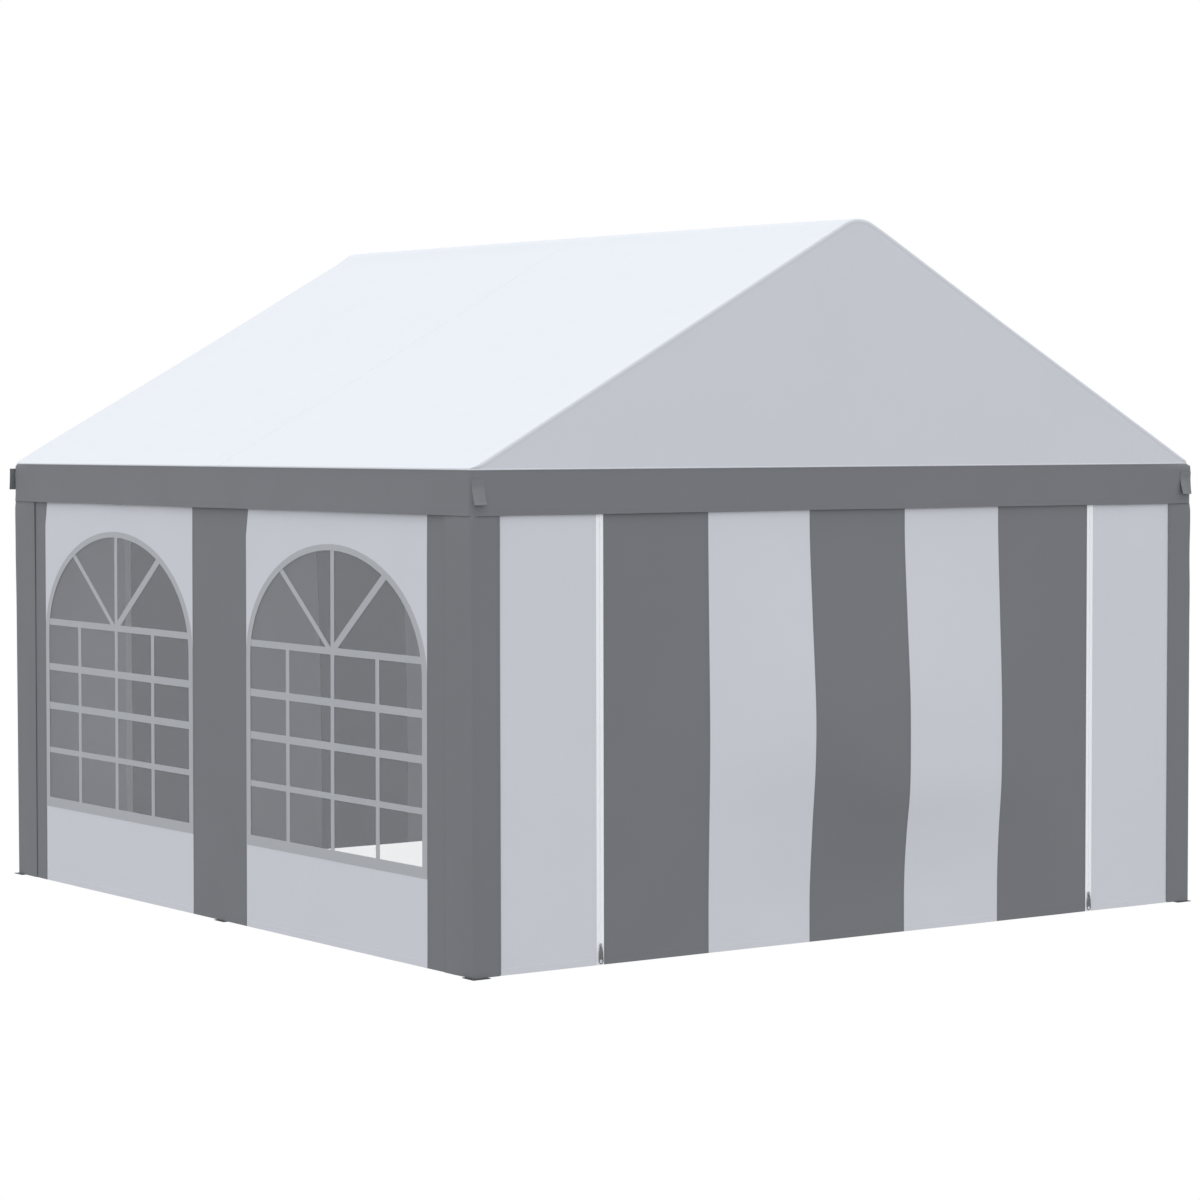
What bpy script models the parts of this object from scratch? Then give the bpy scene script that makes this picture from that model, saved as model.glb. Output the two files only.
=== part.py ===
# Gabled party marquee, 4 m wide and 4.2 m deep: a steel tube frame on six legs under a sewn
# cover, with two arched windows in each long side and a zipped door panel in each gable end.
# The origin is the middle of the footprint, on the ground. The front gable faces -Y.
import math

import bmesh
import bpy
from mathutils import Matrix, Vector

# Driving dimensions, in metres
WIDTH = 4.0  # across the gable, over the valance
DEPTH = 4.19  # along the ridge, over the valance
EAVES_HEIGHT = 2.061  # the fold where roof and valance meet
RIDGE_HEIGHT = 3.149  # where the two slopes would meet in a sharp ridge
RIDGE_RADIUS = 0.16  # the cover's rounded ridge
CLOTH = 0.003  # thickness that stands for each layer of cover
CLEAR_SHEET = 0.002  # thickness of a window's clear sheet
GAP = 0.0003  # between pieces that touch

TUBE_RADIUS = 0.019  # 38 mm steel tube
SOCKET_RADIUS = 0.0185  # arms of the frame's heads
SOCKET_LENGTH = 0.095  # from a head's centre to the end of each arm
TUBE_SIDES = 20
FOOT_SIZE = 0.084
FOOT_THICKNESS = 0.003

HEM_HEIGHT = 0.004  # the walls' lower edge, just over the foot plates
VALANCE_DROP = 0.19
CORNER_RADIUS = 0.012  # the cover's bend at a corner leg

# Tabs sewn to the gable valances, at their four corners: the back ones higher and further out
TAB_WIDTH = 0.062
TAB_LENGTH = 0.104
TAB_SEWN = 0.032  # below this much of its length the tab stands away from the valance
TAB_FLARE = 0.02
TAB_THICKNESS = 0.0025
TAB_TOP = {"front": EAVES_HEIGHT - 0.042, "back": EAVES_HEIGHT - 0.028}
TAB_PAST_CORNER = {"front": 0.008, "back": 0.017}

# Corner covers: how far each leaf reaches from the corner
COVER_ON_GABLE = 0.132
COVER_ON_SIDE = 0.223

# Windows in the side walls
WINDOW_OFFSET = 1.0  # centre of each window, from the middle leg
WINDOW_HALF_WIDTH = 0.716  # clear opening, inside its rim
WINDOW_SILL = 0.416
WINDOW_SPRINGING = 1.21  # the half ellipse above this is as wide as the window
WINDOW_ARCH_RISE = 0.499
WINDOW_LAP = 0.018  # the clear sheet's weld all round the opening
ARCH_STEPS = 16

# Zips at both sides of each gable's door panel
ZIP_OUTER = 1.390
ZIP_INNER = 1.356
CHAIN_HALF_WIDTH = 0.0035
CHAIN_PROUD = 0.0025

# Zip sliders, which run on the chain
SLIDER_CLEARANCE = 0.0006
SLIDER_HALF_WIDTH = 0.007
SLIDER_PLATE = 0.0025
SLIDER_HEIGHT = 0.03
SLIDER_REST = 0.08  # height of the slider's middle with the zip closed
BRIDGE_WIDTH = 0.005
BRIDGE_HEIGHT = 0.014
BRIDGE_PROUD = 0.003
PULL_TOP_RADIUS = 0.008  # the pull is a tapered plate with rounded ends
PULL_FOOT_RADIUS = 0.012
PULL_LENGTH = 0.074
PULL_THICKNESS = 0.0016
PULL_HOLE = 0.0075

# Worked out from the driving dimensions
HALF_WIDTH = WIDTH / 2
HALF_DEPTH = DEPTH / 2
SLOPE = math.atan2(RIDGE_HEIGHT - EAVES_HEIGHT, HALF_WIDTH)
LAYER = CLOTH + GAP
# Each layer of the sides lies inside the one before: valance, corner cover, wall, leg.
COVER_INSET = LAYER
WALL_INSET = 2 * LAYER
LEG_INSET = 3 * LAYER + TUBE_RADIUS
LEG_X = HALF_WIDTH - LEG_INSET
LEG_Y = HALF_DEPTH - LEG_INSET
# Every tube's axis lies this far under the outer face of the roof.
ROOF_TO_AXIS = LAYER + TUBE_RADIUS
HEAD_HEIGHT = EAVES_HEIGHT + LEG_INSET * math.tan(SLOPE) - ROOF_TO_AXIS / math.cos(SLOPE)
ARC_CENTRE_HEIGHT = RIDGE_HEIGHT - RIDGE_RADIUS / math.cos(SLOPE)
RIDGE_AXIS_RADIUS = RIDGE_RADIUS - ROOF_TO_AXIS
RIDGE_AXIS_HEIGHT = ARC_CENTRE_HEIGHT + RIDGE_AXIS_RADIUS
VALANCE_TOP = EAVES_HEIGHT - CLOTH / math.cos(SLOPE) - 2 * GAP
VALANCE_BOTTOM = EAVES_HEIGHT - VALANCE_DROP

SIDES = (("left", -1), ("right", 1))
ENDS = (("front", -1), ("back", 1))


def clear_scene():
    for old in list(bpy.data.objects):
        bpy.data.objects.remove(old, do_unlink=True)


def finish(name, rgb, roughness, metallic=0.0, alpha=1.0):
    """A plain Principled material."""
    made = bpy.data.materials.new(name)
    made.use_nodes = True
    shader = made.node_tree.nodes["Principled BSDF"]
    shader.inputs["Base Color"].default_value = (*rgb, 1.0)
    shader.inputs["Roughness"].default_value = roughness
    shader.inputs["Metallic"].default_value = metallic
    shader.inputs["Alpha"].default_value = alpha
    return made


def new_object(name, bm, material, place=(0, 0, 0)):
    """Links an object for a bmesh, whose points are given from that place."""
    bmesh.ops.recalc_face_normals(bm, faces=bm.faces)
    mesh = bpy.data.meshes.new(name)
    bm.to_mesh(mesh)
    bm.free()
    mesh.materials.append(material)
    mesh.shade_smooth()
    mesh.set_sharp_from_angle(angle=math.radians(40))
    made = bpy.data.objects.new(name, mesh)
    made.location = place
    bpy.context.scene.collection.objects.link(made)
    return made


def prism(name, outline, to_space, low, high, material, holes=()):
    """Extrudes a closed outline from low to high; to_space turns (u, v, along) into x, y, z."""
    bm = bmesh.new()
    loops = [outline, *holes]
    edges = []
    for loop in loops:
        points = [bm.verts.new(to_space(u, v, low)) for u, v in loop]
        edges += [bm.edges.new((a, b)) for a, b in zip(points, points[1:] + points[:1])]
    made = bmesh.ops.triangle_fill(bm, edges=edges, use_beauty=True) if holes else None
    if made is None:
        bmesh.ops.contextual_create(bm, geom=edges)
    faces = list(bm.faces)
    shift = Vector(to_space(0, 0, high)) - Vector(to_space(0, 0, low))
    raised = bmesh.ops.extrude_face_region(bm, geom=faces, use_keep_orig=True)["geom"]
    bmesh.ops.translate(bm, vec=shift, verts=[v for v in raised if isinstance(v, bmesh.types.BMVert)])
    return new_object(name, bm, material)


def upright(u, v, along):
    """A plan outline in x and y, extruded upwards."""
    return u, v, along


def bend(centre_u, centre_v, radius, start, end, steps):
    """Points along an arc, each with its outward normal; angles in degrees."""
    made = []
    for i in range(steps + 1):
        a = math.radians(start + (end - start) * i / steps)
        normal = (math.cos(a), math.sin(a))
        made.append(((centre_u + radius * normal[0], centre_v + radius * normal[1]), normal))
    return made


def band(path, thickness):
    """The outline of a strip whose outer face follows the path."""
    outer = [point for point, _ in path]
    inner = [(p[0] - n[0] * thickness, p[1] - n[1] * thickness) for p, n in path]
    return outer + inner[::-1]


def bar(name, start, end, radius, material):
    """A round bar between two points."""
    start, end = Vector(start), Vector(end)
    bm = bmesh.new()
    bmesh.ops.create_cone(
        bm,
        cap_ends=True,
        segments=TUBE_SIDES,
        radius1=radius,
        radius2=radius,
        depth=(end - start).length,
    )
    made = new_object(name, bm, material, (start + end) / 2)
    made.rotation_euler = (end - start).to_track_quat("Z", "Y").to_euler()
    return made


def block(name, low, high, material):
    """A rectangular block between two corners."""
    low, high = Vector(low), Vector(high)
    bm = bmesh.new()
    bmesh.ops.create_cube(bm, size=1.0, matrix=Matrix.Diagonal((*(high - low), 1.0)))
    return new_object(name, bm, material, (low + high) / 2)


def fuse(first, others, operation="UNION"):
    """Joins or cuts solids into the first one, which keeps its name, place and material."""
    for other in others:
        step = first.modifiers.new(operation.lower(), "BOOLEAN")
        step.operation = operation
        step.solver = "EXACT"
        step.object = other
    bpy.context.view_layer.update()
    solid = bpy.data.meshes.new_from_object(first.evaluated_get(bpy.context.evaluated_depsgraph_get()))
    first.modifiers.clear()
    first.data = solid
    for other in others:
        bpy.data.objects.remove(other, do_unlink=True)
    return first


def from_head(head, direction, distance):
    return Vector(head) + Vector(direction).normalized() * distance


def rafter_direction(side):
    """Unit vector up the slope, from that side's eaves."""
    return Vector((-side * math.cos(SLOPE), 0, math.sin(SLOPE)))


def make_legs(steel):
    """Each leg has a foot plate, and a head whose arms take the rails, rafter and tie bar."""
    for side_name, side in SIDES:
        for row, y in (("front", -LEG_Y), ("middle", 0.0), ("back", LEG_Y)):
            name = f"leg_{row}_{side_name}"
            head = Vector((side * LEG_X, y, HEAD_HEIGHT))
            foot = Vector((side * LEG_X, y, FOOT_THICKNESS / 2))
            leg = bar(name, foot, head, TUBE_RADIUS, steel)
            half = FOOT_SIZE / 2
            pieces = [
                block(
                    name + "_plate",
                    (head.x - half, y - half, 0),
                    (head.x + half, y + half, FOOT_THICKNESS),
                    steel,
                )
            ]
            ball = bmesh.new()
            bmesh.ops.create_uvsphere(ball, u_segments=16, v_segments=8, radius=TUBE_RADIUS)
            pieces.append(new_object(name + "_ball", ball, steel, head))
            ways = [rafter_direction(side)]
            ways += [Vector((0, toward, 0)) for toward in (-1, 1) if abs(y + toward * 0.1) < LEG_Y]
            if y:
                ways.append(Vector((-side, 0, 0)))
            for i, way in enumerate(ways):
                tip = from_head(head, way, SOCKET_LENGTH)
                pieces.append(bar(f"{name}_arm_{i}", head, tip, SOCKET_RADIUS, steel))
            fuse(leg, pieces)


def make_rails(steel):
    """Eave rails between the legs' heads, and a tie bar across each gable."""
    reach = SOCKET_LENGTH + GAP
    for side_name, side in SIDES:
        for end_name, end in ENDS:
            bar(
                f"eave_rail_{end_name}_{side_name}",
                (side * LEG_X, end * reach, HEAD_HEIGHT),
                (side * LEG_X, end * (LEG_Y - reach), HEAD_HEIGHT),
                TUBE_RADIUS,
                steel,
            )
    for end_name, end in ENDS:
        bar(
            f"gable_tie_{end_name}",
            (reach - LEG_X, end * LEG_Y, HEAD_HEIGHT),
            (LEG_X - reach, end * LEG_Y, HEAD_HEIGHT),
            TUBE_RADIUS,
            steel,
        )


def make_rafters(steel):
    """Rafters that run from the legs' heads to the bent ridge connectors."""
    turn = RIDGE_AXIS_RADIUS * math.sin(SLOPE)
    top_x = turn + SOCKET_LENGTH * math.cos(SLOPE)
    top_z = ARC_CENTRE_HEIGHT + RIDGE_AXIS_RADIUS * math.cos(SLOPE) - SOCKET_LENGTH * math.sin(SLOPE)
    for side_name, side in SIDES:
        for row, y in (("front", -LEG_Y), ("middle", 0.0), ("back", LEG_Y)):
            way = rafter_direction(side)
            low = from_head((side * LEG_X, y, HEAD_HEIGHT), way, SOCKET_LENGTH + GAP)
            top = Vector((side * top_x, y, top_z)) - way * GAP
            bar(f"rafter_{row}_{side_name}", low, top, TUBE_RADIUS, steel)
    for row, y in (("front", -LEG_Y), ("middle", 0.0), ("back", LEG_Y)):
        make_ridge_connector(row, y, (top_x, top_z), steel)


def make_ridge_connector(row, y, tip, steel):
    """A tube bent over the ridge, with an arm for each ridge tube."""
    degrees = math.degrees(SLOPE)
    arc = bend(0, ARC_CENTRE_HEIGHT, RIDGE_AXIS_RADIUS, 90 + degrees, 90 - degrees, 8)
    left_end = ((-tip[0], tip[1]), arc[0][1])
    right_end = ((tip[0], tip[1]), arc[-1][1])
    bm = bmesh.new()
    rings = []
    for (u, w), normal in [left_end, *arc, right_end]:
        ring = []
        for i in range(TUBE_SIDES):
            a = math.tau * i / TUBE_SIDES
            out, across = TUBE_RADIUS * math.cos(a), TUBE_RADIUS * math.sin(a)
            ring.append(bm.verts.new((u + normal[0] * out, across, w + normal[1] * out)))
        rings.append(ring)
    for one, two in zip(rings, rings[1:]):
        for i in range(TUBE_SIDES):
            j = (i + 1) % TUBE_SIDES
            bm.faces.new((one[i], one[j], two[j], two[i]))
    bm.faces.new(rings[0])
    bm.faces.new(rings[-1])
    connector = new_object(f"ridge_connector_{row}", bm, steel, (0, y, 0))
    arms = []
    for toward in (-1, 1):
        if abs(y + toward * 0.1) < LEG_Y:
            tip_y = y + toward * SOCKET_LENGTH
            start, end = (0, y, RIDGE_AXIS_HEIGHT), (0, tip_y, RIDGE_AXIS_HEIGHT)
            arms.append(bar(f"ridge_arm_{row}_{toward}", start, end, SOCKET_RADIUS, steel))
    fuse(connector, arms)


def make_ridge_tubes(steel):
    reach = SOCKET_LENGTH + GAP
    for end_name, end in ENDS:
        bar(
            f"ridge_tube_{end_name}",
            (0, end * reach, RIDGE_AXIS_HEIGHT),
            (0, end * (LEG_Y - reach), RIDGE_AXIS_HEIGHT),
            TUBE_RADIUS,
            steel,
        )


def make_roof(cloth):
    """One cover panel on each slope, bent over the ridge where they are sewn together."""
    degrees = math.degrees(SLOPE)
    for side_name, side in SIDES:
        normal = (math.sin(SLOPE), math.cos(SLOPE))
        arc = bend(0, ARC_CENTRE_HEIGHT, RIDGE_RADIUS, 90 - degrees, 90, 6)
        # The panel's lower edge is cut upright, and its upper one stops at the ridge seam.
        outer = [(HALF_WIDTH, EAVES_HEIGHT)] + [p for p, _ in arc[:-1]]
        inner = [(p[0] - n[0] * CLOTH, p[1] - n[1] * CLOTH) for p, n in arc[:-1]]
        crown = ARC_CENTRE_HEIGHT + RIDGE_RADIUS
        seam = [(GAP / 2, crown), (GAP / 2, crown - CLOTH)]
        foot = (HALF_WIDTH, EAVES_HEIGHT - CLOTH / normal[1])
        outline = [(side * u, w) for u, w in outer + seam + inner[::-1] + [foot]]
        prism(
            f"roof_cover_{side_name}",
            outline,
            lambda u, v, along: (u, along, v),
            -HALF_DEPTH,
            HALF_DEPTH,
            cloth,
        )


def make_gables(cloth):
    """The triangles between valance and roof at both ends."""
    degrees = math.degrees(SLOPE)
    under = RIDGE_RADIUS - LAYER
    corner_x = HALF_WIDTH - 0.02
    corner_z = EAVES_HEIGHT + 0.02 * math.tan(SLOPE) - LAYER / math.cos(SLOPE)
    arc = bend(0, ARC_CENTRE_HEIGHT, under, 90 - degrees, 90 + degrees, 12)
    outline = [(corner_x, VALANCE_TOP + GAP), (corner_x, corner_z)]
    outline += [point for point, _ in arc]
    outline += [(-corner_x, corner_z), (-corner_x, VALANCE_TOP + GAP)]
    for end_name, end in ENDS:
        prism(
            f"gable_{end_name}",
            outline,
            lambda u, v, along: (u, along, v),
            end * HALF_DEPTH,
            end * (HALF_DEPTH - CLOTH),
            cloth,
        )


def make_valances(cloth):
    """Side valances run straight, and the gable ones turn round the corners to meet them."""
    r = CORNER_RADIUS
    for side_name, side in SIDES:
        low = (min(side * HALF_WIDTH, side * (HALF_WIDTH - CLOTH)), r + GAP - HALF_DEPTH, VALANCE_BOTTOM)
        high = (max(side * HALF_WIDTH, side * (HALF_WIDTH - CLOTH)), HALF_DEPTH - r - GAP, VALANCE_TOP)
        block(f"valance_{side_name}", low, high, cloth)
    for end_name, end in ENDS:
        right = bend(HALF_WIDTH - r, HALF_DEPTH - r, r, 0, 90, 5)
        left = bend(r - HALF_WIDTH, HALF_DEPTH - r, r, 90, 180, 5)
        outline = [(u, end * v) for u, v in band(right + left, CLOTH)]
        name = f"valance_{end_name}"
        valance = prism(name, outline, upright, VALANCE_BOTTOM, VALANCE_TOP, cloth)
        fuse(valance, [make_tab(f"{name}_tab", side, end_name, end, cloth) for _, side in SIDES])


def make_tab(name, side, end_name, end, cloth):
    """A webbing tab, flat on the valance at its top and standing off at its free lower end."""
    flat = HALF_DEPTH - 0.0012
    lift = flat + TAB_FLARE
    top = TAB_TOP[end_name]
    turn, bottom = top - TAB_SEWN, top - TAB_LENGTH
    profile = [
        (flat, top),
        (flat + TAB_THICKNESS, top),
        (flat + TAB_THICKNESS, turn),
        (lift + TAB_THICKNESS, bottom),
        (lift, bottom),
        (flat, turn + 0.004),
    ]
    outline = [(end * u, v) for u, v in profile]
    outer = side * (HALF_WIDTH + TAB_PAST_CORNER[end_name])
    inner = outer - side * TAB_WIDTH
    return prism(name, outline, lambda u, v, along: (along, u, v), outer, inner, cloth)


def make_corner_covers(cloth):
    """Strips that close the corners, bent round each corner leg over the walls' ends."""
    x, y = HALF_WIDTH - COVER_INSET, HALF_DEPTH - COVER_INSET
    r = CORNER_RADIUS
    top = HEAD_HEIGHT - 0.006
    turn = bend(x - r, y - r, r, 0, 90, 5)
    path = [((x, HALF_DEPTH - COVER_ON_SIDE), (1, 0)), *turn, ((HALF_WIDTH - COVER_ON_GABLE, y), (0, 1))]
    for side_name, side in SIDES:
        for end_name, end in ENDS:
            outline = [(side * u, end * v) for u, v in band(path, CLOTH)]
            prism(f"corner_cover_{end_name}_{side_name}", outline, upright, HEM_HEIGHT, top, cloth)


def window_outline(margin):
    """The arched opening in a side wall, grown by the margin, round its own middle."""
    wide, rise = WINDOW_HALF_WIDTH + margin, WINDOW_ARCH_RISE + margin
    points = [(wide, WINDOW_SILL - margin)]
    for i in range(ARCH_STEPS + 1):
        a = math.pi * i / ARCH_STEPS
        points.append((wide * math.cos(a), WINDOW_SPRINGING + rise * math.sin(a)))
    points.append((-wide, WINDOW_SILL - margin))
    return points


def make_side_walls(cloth, clear):
    """One wall along each side, held on its rail, with two clear windows behind its openings."""
    end_y = LEG_Y + 0.0015
    wall = [(-end_y, HEM_HEIGHT), (end_y, HEM_HEIGHT), (end_y, HEAD_HEIGHT), (-end_y, HEAD_HEIGHT)]
    for side_name, side in SIDES:
        outer = side * (HALF_WIDTH - WALL_INSET)
        inner = outer - side * CLOTH
        holes = []
        for end_name, end in ENDS:
            middle = end * WINDOW_OFFSET
            holes.append([(middle + u, v) for u, v in window_outline(0)])
            prism(
                f"window_{end_name}_{side_name}",
                [(middle + u, v) for u, v in window_outline(WINDOW_LAP)],
                lambda u, v, along: (along, u, v),
                inner - side * GAP,
                inner - side * (GAP + CLEAR_SHEET),
                clear,
            )
        prism(
            f"wall_{side_name}",
            wall,
            lambda u, v, along: (along, u, v),
            outer,
            inner,
            cloth,
            holes,
        )


def make_end_walls(cloth, zip_tape):
    """Each gable end: a fixed panel at both sides and a door panel between two zips."""
    end_x = LEG_X + 0.0015
    for end_name, end in ENDS:
        outer = end * (HALF_DEPTH - WALL_INSET)
        inner = outer - end * CLOTH
        near, far = min(outer, inner), max(outer, inner)
        for side_name, side in SIDES:
            across = sorted((side * end_x, side * (ZIP_OUTER + GAP)))
            block(
                f"wall_{end_name}_{side_name}",
                (across[0], near, HEM_HEIGHT),
                (across[1], far, HEAD_HEIGHT),
                cloth,
            )
            make_zip(f"zip_{end_name}_{side_name}", side, outer, end, zip_tape)
        block(
            f"door_panel_{end_name}",
            (GAP - ZIP_INNER, near, HEM_HEIGHT),
            (ZIP_INNER - GAP, far, HEAD_HEIGHT),
            cloth,
        )


def make_zip(name, side, outer, end, zip_tape):
    """A zip's tape, with the chain of teeth standing proud down its middle."""
    middle = (ZIP_OUTER + ZIP_INNER) / 2
    proud = outer + end * CHAIN_PROUD
    inner = outer - end * CLOTH
    profile = [
        (ZIP_INNER, inner),
        (ZIP_INNER, outer),
        (middle - CHAIN_HALF_WIDTH, outer),
        (middle - CHAIN_HALF_WIDTH, proud),
        (middle + CHAIN_HALF_WIDTH, proud),
        (middle + CHAIN_HALF_WIDTH, outer),
        (ZIP_OUTER, outer),
        (ZIP_OUTER, inner),
    ]
    outline = [(side * u, v) for u, v in profile]
    prism(name, outline, upright, HEM_HEIGHT, HEAD_HEIGHT, zip_tape)


def make_sliders(metal):
    """Sliders that run on the zips' chains, each with a pull that hangs from its bridge."""
    middle = (ZIP_OUTER + ZIP_INNER) / 2
    tape = HALF_DEPTH - WALL_INSET
    low, high = SLIDER_REST - SLIDER_HEIGHT / 2, SLIDER_REST + SLIDER_HEIGHT / 2
    inside = CHAIN_HALF_WIDTH + SLIDER_CLEARANCE
    under = tape + CHAIN_PROUD + SLIDER_CLEARANCE
    top = under + SLIDER_PLATE
    foot = tape + SLIDER_CLEARANCE
    channel = [
        (-SLIDER_HALF_WIDTH, foot),
        (-inside, foot),
        (-inside, under),
        (inside, under),
        (inside, foot),
        (SLIDER_HALF_WIDTH, foot),
        (SLIDER_HALF_WIDTH, top),
        (-SLIDER_HALF_WIDTH, top),
    ]
    pull_back = top + BRIDGE_PROUD - PULL_THICKNESS
    pull_top = SLIDER_REST + 0.002
    rounded_top = bend(0, -PULL_TOP_RADIUS, PULL_TOP_RADIUS, 0, 180, 8)
    rounded_foot = bend(0, PULL_FOOT_RADIUS - PULL_LENGTH, PULL_FOOT_RADIUS, 180, 360, 12)
    pull_outline = [point for point, _ in rounded_top + rounded_foot]
    for end_name, end in ENDS:
        for side_name, side in SIDES:
            x = side * middle
            name = f"zip_slider_{end_name}_{side_name}"
            outline = [(u, end * v - end * tape) for u, v in channel]
            slider = prism(name, outline, upright, low, high, metal)
            slider.location = (x, end * tape, 0)
            bridge_y = sorted((end * (top - 0.0005), end * (top + BRIDGE_PROUD)))
            bridge = block(
                name + "_bridge",
                (x - BRIDGE_WIDTH / 2, bridge_y[0], SLIDER_REST - BRIDGE_HEIGHT / 2),
                (x + BRIDGE_WIDTH / 2, bridge_y[1], SLIDER_REST + BRIDGE_HEIGHT / 2),
                metal,
            )
            pull_y = sorted((end * pull_back, end * (pull_back + PULL_THICKNESS - 0.0004)))
            pull = prism(
                name + "_pull",
                [(x + u, pull_top + v) for u, v in pull_outline],
                lambda u, v, along: (u, along, v),
                pull_y[0],
                pull_y[1],
                metal,
            )
            hole_z = pull_top - PULL_LENGTH + PULL_FOOT_RADIUS
            hole = bar(
                name + "_hole",
                (x, pull_y[0] - 0.002, hole_z),
                (x, pull_y[1] + 0.002, hole_z),
                PULL_HOLE,
                metal,
            )
            fuse(pull, [hole], "DIFFERENCE")
            fuse(slider, [bridge, pull])


def main():
    clear_scene()
    steel = finish("galvanised_steel", (0.55, 0.57, 0.59), 0.42, 0.9)
    roof_cloth = finish("white_roof_cloth", (0.84, 0.87, 0.92), 0.55)
    wall_cloth = finish("white_wall_cloth", (0.72, 0.74, 0.78), 0.6)
    grey_cloth = finish("grey_cloth", (0.17, 0.175, 0.19), 0.6)
    clear = finish("clear_window_sheet", (0.4, 0.42, 0.44), 0.15, 0.0, 0.5)
    zip_tape = finish("white_zip_tape", (0.8, 0.82, 0.85), 0.6)
    zip_metal = finish("zip_metal", (0.6, 0.6, 0.62), 0.3, 1.0)
    make_legs(steel)
    make_rails(steel)
    make_rafters(steel)
    make_ridge_tubes(steel)
    make_roof(roof_cloth)
    make_gables(wall_cloth)
    make_valances(grey_cloth)
    make_corner_covers(grey_cloth)
    make_side_walls(wall_cloth, clear)
    make_end_walls(wall_cloth, zip_tape)
    make_sliders(zip_metal)


main()
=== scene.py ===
# A gabled party marquee, 4 m wide: the sewn cover, windows and zips, hung on its steel frame.
import bisect
import math

import bmesh
import bpy
import numpy as np
from mathutils import Matrix, Vector, noise
from mathutils.geometry import delaunay_2d_cdt


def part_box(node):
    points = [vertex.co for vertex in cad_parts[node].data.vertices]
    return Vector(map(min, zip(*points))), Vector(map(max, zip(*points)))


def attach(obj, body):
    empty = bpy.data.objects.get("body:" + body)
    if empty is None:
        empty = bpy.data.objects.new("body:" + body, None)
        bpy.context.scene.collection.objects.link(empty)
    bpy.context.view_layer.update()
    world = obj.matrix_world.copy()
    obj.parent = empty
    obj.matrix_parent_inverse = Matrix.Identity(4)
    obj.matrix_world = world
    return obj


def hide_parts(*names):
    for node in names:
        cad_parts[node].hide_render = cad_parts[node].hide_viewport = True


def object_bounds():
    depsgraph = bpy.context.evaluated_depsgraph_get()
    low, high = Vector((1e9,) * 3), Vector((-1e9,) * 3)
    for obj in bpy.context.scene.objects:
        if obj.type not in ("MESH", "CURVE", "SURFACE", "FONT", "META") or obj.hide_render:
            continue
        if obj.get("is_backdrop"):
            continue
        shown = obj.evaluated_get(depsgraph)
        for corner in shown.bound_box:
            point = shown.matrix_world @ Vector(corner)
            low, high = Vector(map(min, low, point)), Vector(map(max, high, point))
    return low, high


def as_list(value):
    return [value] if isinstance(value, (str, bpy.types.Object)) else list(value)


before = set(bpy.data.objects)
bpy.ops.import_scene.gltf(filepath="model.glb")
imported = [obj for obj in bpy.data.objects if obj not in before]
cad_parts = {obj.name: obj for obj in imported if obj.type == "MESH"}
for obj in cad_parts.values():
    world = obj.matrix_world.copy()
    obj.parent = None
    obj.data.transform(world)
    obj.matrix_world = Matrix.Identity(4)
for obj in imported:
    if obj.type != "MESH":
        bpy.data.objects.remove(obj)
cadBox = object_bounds()
print("frame loaded:", len(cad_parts), "nodes")

ends = {"front": -1, "back": 1}
sides = {"left": -1, "right": 1}
valanceLow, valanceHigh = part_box("valance_right")
wallLow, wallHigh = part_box("wall_right")
zipLow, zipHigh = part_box("zip_back_right")
coverLow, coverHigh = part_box("corner_cover_back_right")

# The tent's own sizes, in metres. Most are read from the frame.
tent = {
    "halfWidth": valanceHigh.x,
    "halfDepth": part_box("gable_back")[1].y,
    "wallX": wallHigh.x,                       # outer face of a side wall
    "wallY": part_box("door_panel_back")[1].y,   # outer face of an end wall
    "wallEndX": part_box("wall_back_right")[1].x,
    "wallEndY": wallHigh.y,
    "hem": wallLow.z,
    "wallTop": wallHigh.z,
    "valanceTop": valanceHigh.z,
    "valanceBottom": valanceLow.z,
    "zipInner": zipLow.x,
    "zipOuter": zipHigh.x,
    "cornerRadius": 0.012,                     # a corner cover's bend
    "topRadius": 0.035,                        # the softer bend of the roof and valance over it
    "footHalf": 0.042,                         # half of a foot plate
    "eaves": 2.061,                            # where the roof's slopes reach the valance
    "ridge": 3.149,                            # where the two slopes would meet
    "ridgeRadius": 0.16,
    "cloth": 0.0012,                           # drawn thicker than the real 0.3 mm, as a folded edge is
    "middle": Vector((0, 0, 1)),               # every sheet's outer face looks away from here
}
slope = math.atan2(tent["ridge"] - tent["eaves"], tent["halfWidth"])


# How far apart the points of each sheet are, in metres
spacing = {
    "roof": 0.05, "rake": 0.04, "gable": 0.045, "welt": 0.05, "valance": 0.021, "tab": 0.009,
    "cover": 0.03, "wall": 0.034, "window": 0.05, "bars": 0.06, "tape": 0.1,
}


# Small helpers for smooth shapes

def smooth(value):
    t = min(1.0, max(0.0, value))
    return t * t * (3 - 2 * t)


def flow(stations, value):
    # a smooth line through (place, height) stations, level at both ends
    places = [place for place, _ in stations]
    i = min(max(bisect.bisect_right(places, value) - 1, 0), len(stations) - 2)
    (x0, y0), (x1, y1) = stations[i], stations[i + 1]
    t = min(1.0, max(0.0, (value - x0) / (x1 - x0)))
    rise = []
    for j in (i, i + 1):
        if 0 < j < len(stations) - 1:
            (xa, ya), (xb, yb) = stations[j - 1], stations[j + 1]
            rise.append((yb - ya) / (xb - xa) * (x1 - x0))
        else:
            rise.append(0.0)
    bend = 2 * t**3 - 3 * t**2
    return (1 + bend) * y0 + (t**3 - 2 * t**2 + t) * rise[0] - bend * y1 + (t**3 - t**2) * rise[1]


def spread(places, apart):
    # stations that pass through every given place, about this far apart
    made = [places[0]]
    for start, end in zip(places, places[1:]):
        count = max(1, math.ceil(abs(end - start) / apart - 0.001))
        made += [start + (end - start) * (i + 1) / count for i in range(count)]
    return made


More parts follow.
